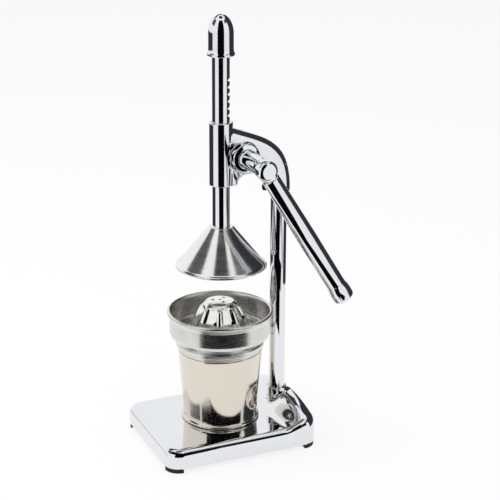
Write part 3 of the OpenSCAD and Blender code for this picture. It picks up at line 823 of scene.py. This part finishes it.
def bezier(points, count):
    """Points along one cubic curve."""
    t = np.linspace(0, 1, count)[:, None]
    a, b, c, d = (np.array(p, float) for p in points)
    return (1 - t) ** 3 * a + 3 * (1 - t) ** 2 * t * b + 3 * (1 - t) * t ** 2 * c + t ** 3 * d


class PRESS_OT_head(bpy.types.Operator):
    """Chromed head casting: guide tube, curved arm, bearing bosses and column socket"""
    bl_idname = "press.head"
    bl_label = "Head casting"

    def execute(self, context):
        s, at, finish = tools(context)
        low, arch_y, arch_rise = s.tube_bottom - 0.2, 22.5, 9.2
        outer = bezier([(5, s.tube_top - 3.3), (31, s.tube_top - 17), (69, s.socket_z + 52.3),
                        (65.4, s.socket_z)], 26)
        turn = np.radians(np.linspace(0, 90, 9))
        left = np.stack([arch_y - 10.5 * np.cos(turn), low + arch_rise * np.sin(turn)], 1)
        right = np.stack([arch_y + 23.5 * np.sin(turn),
                          s.socket_z + (low + arch_rise - s.socket_z) * np.cos(turn)], 1)
        outline = np.concatenate([[(5, low)], left, right[1:], outer[::-1]])
        far = [(-60, s.socket_z - 30), (-60, s.tube_top + 18), (-20, s.tube_top + 6)]
        crown = np.concatenate([far, outer, [(outer[-1][0], s.socket_z - 30)]])
        clamp_z, clamp_r = s.socket_z + CLAMP_UP, 2.2
        arm_half, arm_swell, crown_r, flank_r = 9, 1.4, 8.4, 2.2
        socket_r, gear_r, bush_r, pad_r, screw_r = 9.6, 14.7, 8.1, 20, 1.7

        def solid(p):
            x, y, z = p.T
            drop = np.clip((s.tube_top - z) / (s.tube_top - s.socket_z), 0, 1)
            half_arm = np.abs(x) - arm_half - arm_swell * drop ** 2
            arm = np.maximum(along(inside_outline(outline, y, z), half_arm, flank_r),
                             along(inside_outline(crown, y, z), half_arm, crown_r))
            tube = along(rod_z(p, 0, 0, s.tube_diameter / 2),
                         between(z, s.tube_bottom, s.tube_top), 0.8)
            waist = 0.11 * np.maximum(z - s.socket_z - 5, 0)
            socket = along(rod_z(p, 0, s.column_y, socket_r) + waist,
                           between(z, s.socket_z, s.socket_z + 14), 0.8)
            axis = rod_x(p, s.pinion_y, s.pinion_z, 0)
            face = 0.93 * (x - s.boss_face + 0.38 * np.maximum(axis - 8.6, 0))
            boss = along(axis - s.boss_radius + 0.06 * (x - arm_half), np.maximum(face, -x), 0.7)
            pad = along(axis - pad_r, between(x, -11.5, -5.5), 0.8)
            clamp = np.hypot(x, z - clamp_z)
            lug = along(clamp - 3.6, between(y, s.column_y - CLAMP_OUT, s.column_y), 0.5)
            body = arm
            for part, fillet in ((socket, 2.0), (tube, 0.8), (boss, 0.9), (pad, 1.2), (lug, 1.2)):
                body = join(body, part, fillet)
            body = cut(body, rod_z(p, 0, 0, s.rod_diameter / 2 + 0.15), 0.5)
            body = cut(body, np.maximum(rod_z(p, 0, s.column_y, s.column_diameter / 2 + 0.12),
                                        z - s.socket_z - 24.5), 0.5)
            body = cut(body, np.maximum(axis - gear_r, x - 6), 0.3)
            body = cut(body, np.maximum(axis - bush_r, -x), 0.3)
            for angle in (90, 210, 330):
                a = math.radians(angle)
                hole = rod_x(p, s.pinion_y + COVER_RING * math.sin(a),
                             s.pinion_z - COVER_RING * math.cos(a), screw_r)
                body = cut(body, np.maximum(hole, x + 4.5), 0.2)
            return cut(body, np.maximum(clamp - clamp_r, y - s.column_y), 0.3)

        mesh = cast_mesh("head_casting", solid, (-14, -13, s.socket_z - 2),
                         (20, 70, s.tube_top + 2), 0.85)
        hand_over("head_casting", mesh, at.plunger, "stand", "cast_chrome", ["head"], finish, 0)
        return {"FINISHED"}


class PRESS_OT_bearing_cover(bpy.types.Operator):
    """Chromed cover over the pinion on the far side, with its screw holes"""
    bl_idname = "press.bearing_cover"
    bl_label = "Bearing cover"

    def execute(self, context):
        _, at, finish = tools(context)
        disc_r, gear_r, bush_r, seat = 20, 14.5, 8, -11.5
        profile = rounded([(0, -13), (bush_r, -13), (bush_r, -7.5), (gear_r, -7.5),
                           (gear_r, seat, 0.1), (disc_r, seat, 0.2), (disc_r, -COVER_FACE, 1.2),
                           (0, -COVER_FACE)], 0.25)
        mesh = turned_mesh("bearing_cover_disc", profile, 96)
        hole = drill(1.65, -16, -5)
        hole.transform(Matrix.Translation((COVER_RING, 0, 0)))
        mesh = copied(mesh, hole, finish["cast_chrome"], True, COVER_SCREWS, start=90,
                      turn=360 / COVER_SCREWS)
        hand_over("bearing_cover_disc", mesh, at.pinion, "stand", "cast_chrome", ["bearing_cover"],
                  finish)
        return {"FINISHED"}


# ---- fasteners ----

def socket_screw(radius, long, head_r, head_h, finish):
    """A cheese head screw pointing down from z = 0, with a hexagonal socket in its head."""
    profile = rounded([(0, -long), (radius, -long, 0.4), (radius, 0, 0.05), (head_r, 0, 0.15),
                       (head_r, head_h, 0.5), (0, head_h)], 0.2)
    key = drill(head_r * 0.55, head_h * 0.4, head_h + 1, 6)
    return copied(turned_mesh("screw", profile, 48), key, finish, True, 1)


class PRESS_OT_fasteners(bpy.types.Operator):
    """Screws of the bearing cover, the feet and the column clamp"""
    bl_idname = "press.fasteners"
    bl_label = "Fasteners"

    def execute(self, context):
        s, at, finish = tools(context)
        empty = bpy.data.meshes.new("empty")
        flip = Matrix.Rotation(math.pi, 4, "X")

        screw = socket_screw(1.5, 8, 2.6, 2, finish["zinc"])
        screw.transform(Matrix.Translation((COVER_RING, 0, -COVER_FACE)) @ flip)
        ring = copied(empty, screw, finish["zinc"], False, COVER_SCREWS, start=90,
                      turn=360 / COVER_SCREWS)
        hand_over("cover_screw_ring", ring, at.pinion, "stand", "zinc", ["cover_screws"], finish)

        _, _, spots = base_plan(s)
        single = socket_screw(1.5, 11, 2.9, 1.5, finish["zinc"])
        single.transform(Matrix.Translation((*spots[0], 1.8)) @ flip)
        across, back = (spots[3][k] - spots[0][k] for k in (0, 1))
        pair = copied(empty, single, finish["zinc"], False, 2, step=(across, 0, 0))
        both = copied(empty, pair, finish["zinc"], False, 2, step=(0, back, 0))
        hand_over("foot_screw_set", both, at.plunger, "stand", "zinc", ["foot_screws"], finish)

        clamp = socket_screw(2, CLAMP_OUT - s.column_diameter / 2 - 0.2, 3, 3,
                             finish["black_steel"])
        spot = Matrix.Translation((0, s.column_y - CLAMP_OUT, s.socket_z + CLAMP_UP))
        place = spot @ Matrix.Rotation(math.pi / 2, 4, "X")
        hand_over("clamp_screw", clamp, place, "stand", "black_steel", ["column_clamp_screw"],
                  finish)
        return {"FINISHED"}


# ---- plunger ----

class PRESS_OT_rack_rod(bpy.types.Operator):
    """Plunger rod with its row of rack teeth cut in the back"""
    bl_idname = "press.rack_rod"
    bl_label = "Rack rod"

    def execute(self, context):
        s, at, finish = tools(context)
        r, low, high, module = s.rod_diameter / 2, s.cone_top_z, s.total_height - 12, 2
        spigot_r, spigot_low, bevel = 4, low - 7.8, 0.5
        profile = [(0, spigot_low), (3.6, spigot_low), (spigot_r, spigot_low + 0.4),
                   (spigot_r, low), (r, low)]
        profile += [(r, z) for z in np.linspace(low + 5, high - 5, 40)]
        profile += [(r, high - bevel), (r - bevel, high), (0, high)]
        rod = turned_mesh("rod", profile, 96)
        pitch, depth, slope = module * math.pi, 2.5, math.tan(math.radians(25))
        tooth = [(way * depth, side * (pitch / 4 + way * depth * slope))
                 for way, side in ((-1, -1), (1, -1), (1, 1), (-1, 1))]
        corners = [(x, r - module + out, s.pinion_z - pitch + up)
                   for x in (-r - 1, r + 1) for out, up in tooth]
        sides = [(0, 1, 2, 3), (7, 6, 5, 4)]
        sides += [(i, i + 4, (i + 1) % 4 + 4, (i + 1) % 4) for i in range(4)]
        cutter = plain_mesh("tooth_gap", corners, sides)
        mesh = copied(rod, cutter, finish["chrome_bar"], True, s.rack_gaps, step=(0, 0, pitch))
        hand_over("plunger_rack_rod", mesh, at.plunger, "plunger", "chrome_bar", ["rack_rod"],
                  finish, 30)
        return {"FINISHED"}


class PRESS_OT_top_cap(bpy.types.Operator):
    """Bullet shaped cap on the rod's top"""
    bl_idname = "press.top_cap"
    bl_label = "Top cap"

    def execute(self, context):
        s, at, finish = tools(context)
        low, bore, bore_top, bead, r = s.total_height - 36, 8.15, 26, 12.4, 11.3
        skirt = rounded([(0, low + bore_top), (bore, low + bore_top), (bore, low),
                         (bead - 0.5, low, 0.4), (bead, low + 0.6, 0.5), (bead, low + 2.1, 0.6),
                         (r + 0.25, low + 3.4, 0.8)], 0.3)
        side = [(r + 0.06, low + 6), (r, low + 9), (r, low + 14)]
        dome = [(r * math.cos(a), low + 19 + 17 * math.sin(a))
                for a in np.radians(np.linspace(0, 90, 28))]
        mesh = turned_mesh("bullet_cap", skirt + side + dome, 128)
        hand_over("bullet_cap", mesh, at.plunger, "plunger", "cast_chrome", ["top_cap"], finish)
        return {"FINISHED"}


class PRESS_OT_cone(bpy.types.Operator):
    """Spun pressing cone with a rolled lip"""
    bl_idname = "press.cone"
    bl_label = "Pressing cone"

    def execute(self, context):
        s, at, finish = tools(context)
        r, low, top, neck, bore, thick = s.cone_radius, s.cone_rim_z, s.cone_top_z, 10.7, 4.1, 2
        slope = (r - neck) / (top - low)
        inside = [(bore, top - thick), (neck - 1.9, top - thick, 0.8), (r - 2.1, low + 1.1, 0.3)]
        lip = arc(r - 0.7, low + 1, 1, -120, 40, 12)
        outside = [(r + slope * (low - z) + 0.05, z, 0)
                   for z in np.linspace(low + 2.2, top - 1.8, 24)]
        profile = inside + lip + outside + [(neck + 0.2, top - 0.05, 0.9), (bore, top, 0.1)]
        mesh = turned_mesh("pressing_cone", rounded(profile, 0.4, True), 192, True)
        hand_over("pressing_cone", mesh, at.plunger, "plunger", "brushed_stainless", ["press_cone"],
                  finish)
        return {"FINISHED"}


# ---- lever ----

class PRESS_OT_lever(bpy.types.Operator):
    """Lever: hub casting with its round knuckle, tapered rod and flared end cap"""
    bl_idname = "press.lever"
    bl_label = "Lever"

    def execute(self, context):
        s, at, finish = tools(context)
        start, bore_end = s.boss_face + 0.4, s.lever_x - 6
        cosine, sine = math.cos(s.lever_lean), math.sin(s.lever_lean)
        neck_r, shaft_r, rod_r, pin_r = 8.6, 6.1, 5.15, 2.08

        def solid(p):
            axis = rod_x(p, s.pinion_y, s.pinion_z, 0)
            neck = along(axis - neck_r, between(p[:, 0], start, s.lever_x - 2), 0.5)
            x, y, z = p[:, 0] - s.lever_x, p[:, 1] - s.pinion_y, p[:, 2] - s.pinion_z
            across, up = y * cosine + z * sine, z * cosine - y * sine
            around = np.hypot(x, across)
            swell = axis - 9.5 + 0.02 * (x - 2) ** 2
            face = x - 9.3 + 0.003 * axis ** 2 - 0.02 * (y + z)
            knuckle = along(swell, np.maximum(face, -9 - x), 3.0)
            socket = along(around - 7.9 - 0.12 * (up + 9.3), between(up, -9.3, -2), 0.5)
            body = join(join(neck, knuckle, 0.8), socket, 1.2)
            body = cut(body, np.maximum(axis - shaft_r, p[:, 0] - bore_end), 0.3)
            body = cut(body, np.maximum(around - rod_r, up + 5.2), 0.3)
            pin = np.hypot(p[:, 0] - start - 8, up)
            return cut(body, pin - pin_r, 0.3)

        mesh = cast_mesh("lever_hub_casting", solid,
                         (start - 1.5, s.pinion_y - 12, s.pinion_z - 13),
                         (s.lever_x + 11, s.pinion_y + 12, s.pinion_z + 11), 0.6)
        hand_over("lever_hub_casting", mesh, at.plunger, "lever", "cast_chrome", ["lever_hub"],
                  finish, 0)

        # Profiles of (radius, distance): from the pivot for the rod, from its end for the cap.
        top_r, low_r, tip = s.lever_top_diameter / 2, s.lever_diameter / 2, s.lever_length
        stub_r, taper, stub_start = 5, 72, tip - 17.2
        shaft = [(0, 6.5), (4.7, 6.5), (stub_r, 6.8), (stub_r, 9.5, 0.05), (top_r - 0.5, 9.5),
                 (top_r, 10.1)]
        shaft += [(top_r + (low_r - top_r) * (d - 10) / taper, d, 0)
                  for d in np.linspace(12, 82, 20)]
        shaft += [(low_r, 90, 0), (low_r, 110, 0), (low_r, stub_start, 0.1),
                  (stub_r, stub_start), (stub_r, tip - 8), (0, tip - 8)]
        mesh = turned_mesh("lever_rod", [(r, -d) for r, d in rounded(shaft, 0.2)], 96)
        hand_over("lever_rod", mesh, at.lever, "lever", "chrome_bar", ["lever_arm"], finish)

        bore = [(0, -7.8), (rod_r, -7.8), (rod_r, -17.1)]
        curve = ((low_r - 0.02, -17.1), (low_r + 0.12, -15.4), (9.3, -13.2), (9.72, -11),
                 (9.96, -9), (10.06, -7), (10.08, -5), (10.02, -3.4))
        end = ((5.4, 1.28), (3.6, 1.34), (1.8, 1.38), (0, 1.4))
        flare = bore + [(r, d, 0) for r, d in curve] + arc(6.45, -2.4, 3.6, 8, 82, 10)
        flare += [(r, d, 0) for r, d in end]
        mesh = turned_mesh("lever_end_cap_turned",
                           [(r, -(tip + d)) for r, d in rounded(flare, 0.2)], 128)
        hand_over("lever_end_cap_turned", mesh, at.lever, "lever", "cast_chrome", ["lever_end_cap"],
                  finish)
        return {"FINISHED"}


# ---- cup, strainer bowl and reamer ----

# Height in millimetres of the bowl's ledge, which the reamer's flange lies on.
BOWL_LEDGE = 101.5


class PRESS_OT_cup(bpy.types.Operator):
    """Drawn steel cup, wider to the top, with a foot bead"""
    bl_idname = "press.cup"
    bl_label = "Juice cup"

    def execute(self, context):
        s, at, finish = tools(context)
        low, r, foot, top = s.base_top + 0.3, s.cup_radius, s.cup_low_radius, s.cup_top
        sheet, floor = s.sheet, low + 1.2
        wall = [(foot + 0.35 + (r - foot - 0.35) * k, low + 5 + (top - 0.8 - low - 5) * k, 0)
                for k in np.linspace(0, 1, 24)]
        inner = [(a - sheet, b, 0) for a, b, _ in wall[::-1]]
        under = [(0, floor), (foot - 3, floor, 0.6), (foot - 1.6, low, 0.3)]
        bead = arc(foot + 1, low + 1.4, 1.4, -90, 75, 10) + [(foot + 0.42, low + 3.3, 0.5)]
        rim = [(r, top, 0.45), (r - sheet, top, 0.45)]
        inside = [(foot - sheet - 1.6, floor + sheet, 1.5), (0, floor + sheet)]
        profile = under + bead + wall + rim + inner + inside
        mesh = turned_mesh("drawn_cup", rounded(profile, 0.4), 192)
        hand_over("drawn_cup", mesh, at.cup, "cup", "polished_stainless", ["juice_cup"], finish)
        return {"FINISHED"}


class PRESS_OT_bowl(bpy.types.Operator):
    """Strainer bowl with a rolled rim, seated in the cup"""
    bl_idname = "press.bowl"
    bl_label = "Strainer bowl"

    def execute(self, context):
        s, at, finish = tools(context)
        seat, lip, sheet = s.cup_top + 0.3, s.cup_radius, s.sheet
        skirt, r, top = lip - sheet - 0.5, s.bowl_radius, s.bowl_top
        foot = BOWL_LEDGE - 4
        heights = np.linspace(foot + 11, top - 8, 6)
        skirt_out = [(skirt, seat - 7), (skirt, seat, 0.2), (lip, seat, 0.3),
                     (lip + 0.05, seat + 2.8, 0.2)]
        bead = [(lip + 1.7, seat + 3.1, 0.7), (lip + 1.8, seat + 7.1, 0.9),
                (lip + 0.6, seat + 7.9, 0.15)]
        outside = [(r - 3.4, foot + 3.4, 0.8), (r - 0.9, foot + 6.4, 1.2), (r, foot + 9.4, 2)]
        outside += [(r, z, 0) for z in heights] + [(r, top - 7, 3), (r + 0.7, top - 3.3, 1)]
        rim = arc(r + 0.7, top - 1.5, 1.5, -60, 160, 14)
        inside = [(r + 0.1 - sheet, top - 3.4, 1), (r - sheet, top - 6.6, 3)]
        inside += [(r - sheet, z, 0) for z in heights[::-1]]
        inside += [(r - sheet, foot + 9.6, 2), (r - 2.2, foot + 8, 1), (r - 4.5, foot + 6.4, 1)]
        ledge = [(41, BOWL_LEDGE, 0.5), (skirt - sheet, BOWL_LEDGE, 0.4), (skirt - sheet, seat - 7)]
        profile = rounded(skirt_out + bead + outside + rim + inside + ledge, 0.3, True)
        mesh = turned_mesh("strainer_bowl_spun", profile, 192, True)
        hand_over("strainer_bowl_spun", mesh, at.cup, "strainer", "satin_stainless",
                  ["strainer_bowl"], finish)
        return {"FINISHED"}


class PRESS_OT_reamer(bpy.types.Operator):
    """Pressed reamer with ribs up its side and drain holes"""
    bl_idname = "press.reamer"
    bl_label = "Reamer"

    def execute(self, context):
        s, at, finish = tools(context)
        foot, top, sheet = BOWL_LEDGE + s.sheet, s.reamer_top, s.sheet
        dome, cap_r, cap_fall, flange = top - 3.6, 11.6, 0.9, 40
        cap = [(r, top - cap_fall * (r / cap_r) ** 2, 0) for r in np.linspace(0, cap_r, 12)]
        side = [(15.1, dome), (22.2, foot + 17.2), (25, foot + 10), (26.6, foot + 3), (27.5, foot)]
        corners = [(13.0, top - 1.4, 1.6)] + [(a, b, 2.5) for a, b in side]
        fine = rounded([cap[-1]] + corners + [(flange, foot)], 0.4)
        dense = [fine[0]]
        for a, b in zip(fine, fine[1:]):
            parts = max(1, round(math.dist(a, b) / 0.9))
            dense += [tuple(u + (v - u) * k / parts for u, v in zip(a, b))
                      for k in range(1, parts + 1)]
        under = [(a - sheet * 1.15, b - sheet * 0.6) for a, b in side[::-1]]
        inner = [(r, top - sheet - cap_fall * (r / cap_r) ** 2)
                 for r in np.linspace(cap_r - 0.2, 0, 8)]
        bottom = [(flange, foot - sheet), (27.2, foot - sheet)]
        mesh = turned_mesh("reamer_skin", cap[:-1] + dense + bottom + under[1:] + inner, 240)
        metal = finish["reamer_steel"]
        mesh = run_tree(mesh, rib_tree(), count=float(s.ribs), start=math.radians(21),
                        height=1.7, width=math.radians(10.5), flatness=0.032, low=foot + 0.5,
                        high=dome + 0.2, material=metal)
        hole = drill(1.7, -5, 8)
        tilt = Matrix.Rotation(math.radians(61), 4, "Y")
        hole.transform(Matrix.Translation((21.2, 0, foot + 17.6)) @ tilt)
        mesh = copied(mesh, hole, metal, True, s.ribs, start=11, turn=360 / s.ribs)
        small = drill(1.45, top - 10, top + 5, 20)
        small.transform(Matrix.Translation((6.5, 0, 0)))
        mesh = copied(mesh, small, metal, True, 3, start=6, turn=120)
        mesh = copied(mesh, drill(1.2, top - 10, top + 5, 20), metal, True, 1)
        hand_over("pressed_reamer", mesh, at.cup, "strainer", "polished_stainless", ["reamer"],
                  finish, 45, "reamer_steel")
        return {"FINISHED"}


class PRESS_OT_kept_parts(bpy.types.Operator):
    """Finishes of the CAD parts that stay: shaft, bushes, pin, bolt, washers and nut"""
    bl_idname = "press.kept_parts"
    bl_label = "Kept parts"

    def execute(self, context):
        finish = all_finishes(context.scene.press_finishes)
        kept = {"column_bolt": "zinc", "column_washer": "zinc", "shaft_bush_near": "bronze",
                "shaft_bush_far": "bronze", "pinion_shaft": "gear_steel", "hub_pin": "zinc",
                "cone_washer": "zinc", "cone_nut": "zinc"}
        for node, slot in kept.items():
            give_finish(node, finish[slot])
        return {"FINISHED"}


# ---- stage ----

def flag(name, spread, profile, finish):
    """A flag that only reflections see: a profile of (radius, height) in metres, turned through
    the spread, its two angles round the press from +X in degrees."""
    angles = np.radians(np.linspace(spread[0], spread[1], 25))
    points = [(r * math.cos(a), r * math.sin(a), z) for r, z in profile for a in angles]
    n = len(angles)
    faces = [(k * n + i, k * n + i + 1, (k + 1) * n + i + 1, (k + 1) * n + i)
             for k in range(len(profile) - 1) for i in range(n - 1)]
    mesh = raw_mesh(name, points, faces)
    mesh.materials.append(finish)
    card = in_scene(name, mesh)
    for ray in ("camera", "diffuse", "transmission", "volume_scatter", "shadow"):
        setattr(card, "visible_" + ray, False)
    return card


def flag_finish(name, code):
    """A plain colour that glows by itself, whatever the lamps do."""
    finish = bpy.data.materials.new(name)
    tree = shader_tree(finish)
    glow = add_node(tree, "ShaderNodeEmission", {"Color": linear(code), "Strength": 1.0})
    add_node(tree, "ShaderNodeOutputMaterial", {"Surface": glow})
    return finish


def studio_rays(tree):
    """1 for the rays that see the white studio itself, 0 for the light it sheds."""
    ray = add_node(tree, "ShaderNodeLightPath")
    seen = add_node(tree, "ShaderNodeMath", {0: (ray, "Is Camera Ray"), 1: (ray, "Is Glossy Ray")},
                    operation="MAXIMUM")
    return add_node(tree, "ShaderNodeMath", {0: seen, 1: (ray, "Is Transmission Ray")},
                    operation="MAXIMUM")


# Flags: name, spread in degrees from the camera's side, profile of (radius, height), colour.
FLAGS = (
    ("front_bowl_flag", (-40, 50), ((0.12, 0.05), (0.12, 0.102)), "flag"),
    ("front_shelf_flag", (-56, 60), ((0.12, 0.1), (0.2, 0.1)), "flag"),
    ("front_flag", (-27, 31), ((0.2, 0.1), (0.6, 0.1), (1.7, 0.0004), (1.7, 3.4)), "flag"),
    ("right_floor_flag", (80, 150), ((0.42, 0.0004), (1.7, 0.0004)), "side_flag"),
    ("right_wall_flag", (80, 165), ((1.7, 0.0), (1.7, 2.8)), "side_flag"),
    ("right_high_flag", (52, 80), ((1.7, 1.6), (1.7, 2.8)), "high_flag"),
    ("left_floor_flag", (-140, -74), ((0.42, 0.0004), (4.5, 0.0004)), "side_flag"),
    ("left_wall_flag", (-110, -66), ((1.7, 1.0), (1.7, 2.2)), "high_flag"),
    ("back_high_flag", (170, 245), ((1.7, 1.55), (1.7, 2.8)), "side_flag"),
    ("ceiling_flag", (-180, 180), ((0.001, 3.4), (0.9, 3.4)), "side_flag"))

# Camera fitted to the photograph: where it stands, and its right, up and back directions.
CAMERA_SPOT = (1.13562, -0.49287, 0.62313)
CAMERA_AXES = ((0.40467, 0.91445, 0.00475), (-0.30838, 0.13157, 0.94212),
               (0.86090, -0.38271, 0.33524))


class PRESS_OT_stage(bpy.types.Operator):
    """Studio: white sweep, pale floor, black and grey flags, soft lamps and the camera"""
    bl_idname = "press.stage"
    bl_label = "Studio and camera"

    def execute(self, context):
        scene, stage = context.scene, context.scene.press_stage
        scene.view_settings.view_transform = "Standard"

        lens = bpy.data.cameras.new("studio_camera")
        lens.lens, lens.sensor_width, lens.sensor_fit = stage.lens, 36, "HORIZONTAL"
        lens.clip_start, lens.clip_end = 0.05, 50
        camera = in_scene("studio_camera", lens)
        turn = Matrix(CAMERA_AXES).transposed().to_4x4()
        camera.matrix_world = Matrix.Translation(CAMERA_SPOT) @ turn
        scene.camera = camera

        scene.world = bpy.data.worlds.new("white_studio")
        tree = shader_tree(scene.world)
        power = add_node(tree, "ShaderNodeMapRange",
                         {"Value": studio_rays(tree), "To Min": stage.fill, "To Max": 1.0})
        sky = add_node(tree, "ShaderNodeBackground", {"Color": (1, 1, 1, 1), "Strength": power})
        add_node(tree, "ShaderNodeOutputWorld", {"Surface": sky})

        far = 40
        corners = [(-far, -far, 0), (far, -far, 0), (far, far, 0), (-far, far, 0)]
        mesh = raw_mesh("studio_floor", corners, [(0, 1, 2, 3)])
        floor = in_scene("studio_floor", mesh)
        paper = bpy.data.materials.new("white_paper_sweep")
        tree = shader_tree(paper)
        matt = add_node(tree, "ShaderNodeBsdfDiffuse", {"Color": linear(stage.floor)})
        glow = add_node(tree, "ShaderNodeEmission", {"Color": (1, 1, 1, 1), "Strength": 1.0})
        share = add_node(tree, "ShaderNodeMath", {0: studio_rays(tree), 1: 0.8},
                         operation="MULTIPLY")
        mix = add_node(tree, "ShaderNodeMixShader", {0: share, 1: matt, 2: glow})
        add_node(tree, "ShaderNodeOutputMaterial", {"Surface": mix})
        mesh.materials.append(paper)

        ahead = math.degrees(math.atan2(CAMERA_AXES[2][1], CAMERA_AXES[2][0]))
        shades = {key: flag_finish("studio_" + key, getattr(stage, key))
                  for key in ("flag", "side_flag", "high_flag")}
        for name, spread, profile, shade in FLAGS:
            flag(name, (ahead + spread[0], ahead + spread[1]), profile, shades[shade])

        for name, spot, size, power in (
                ("overhead_softbox", (0.1, -0.3, 1.5), 1.6, stage.key),
                ("side_softbox", (-0.7, -1.4, 1.0), 1.2, stage.key * 0.5)):
            light = bpy.data.lights.new(name, "AREA")
            light.shape, light.size, light.energy = "DISK", size, power
            lamp = in_scene(name, light)
            lamp.location = spot
            aim = Vector((0, 0, 0.15)) - Vector(spot)
            lamp.rotation_euler = aim.to_track_quat("-Z", "Y").to_euler()
            lamp.visible_glossy = False
        return {"FINISHED"}


# ---- add-on ----

STEPS = (PRESS_OT_stage, PRESS_OT_base, PRESS_OT_column, PRESS_OT_feet, PRESS_OT_head,
         PRESS_OT_bearing_cover, PRESS_OT_fasteners, PRESS_OT_rack_rod, PRESS_OT_top_cap,
         PRESS_OT_cone, PRESS_OT_lever, PRESS_OT_cup, PRESS_OT_bowl, PRESS_OT_reamer,
         PRESS_OT_kept_parts)


class PRESS_PT_panel(bpy.types.Panel):
    """Lists the steps of the juice press"""
    bl_idname = "PRESS_PT_panel"
    bl_label = "Juice press"
    bl_space_type = "VIEW_3D"
    bl_region_type = "UI"
    bl_category = "Juice press"

    def draw(self, context):
        for step in STEPS:
            self.layout.operator(step.bl_idname)
        scene = context.scene
        for group in (scene.press_sizes, scene.press_finishes, scene.press_stage):
            box = self.layout.box()
            for name in group.__annotations__:
                box.prop(group, name)


CLASSES = (PressSizes, PressFinishes, PressStage) + STEPS + (PRESS_PT_panel,)


def register():
    for cls in CLASSES:
        bpy.utils.register_class(cls)
    bpy.types.Scene.press_sizes = PointerProperty(type=PressSizes)
    bpy.types.Scene.press_finishes = PointerProperty(type=PressFinishes)
    bpy.types.Scene.press_stage = PointerProperty(type=PressStage)


def unregister():
    del bpy.types.Scene.press_sizes, bpy.types.Scene.press_finishes, bpy.types.Scene.press_stage
    for cls in reversed(CLASSES):
        bpy.utils.unregister_class(cls)


def main():
    register()
    for step in STEPS:
        group, name = step.bl_idname.split(".")
        getattr(getattr(bpy.ops, group), name)()


if __name__ == "__main__":
    main()
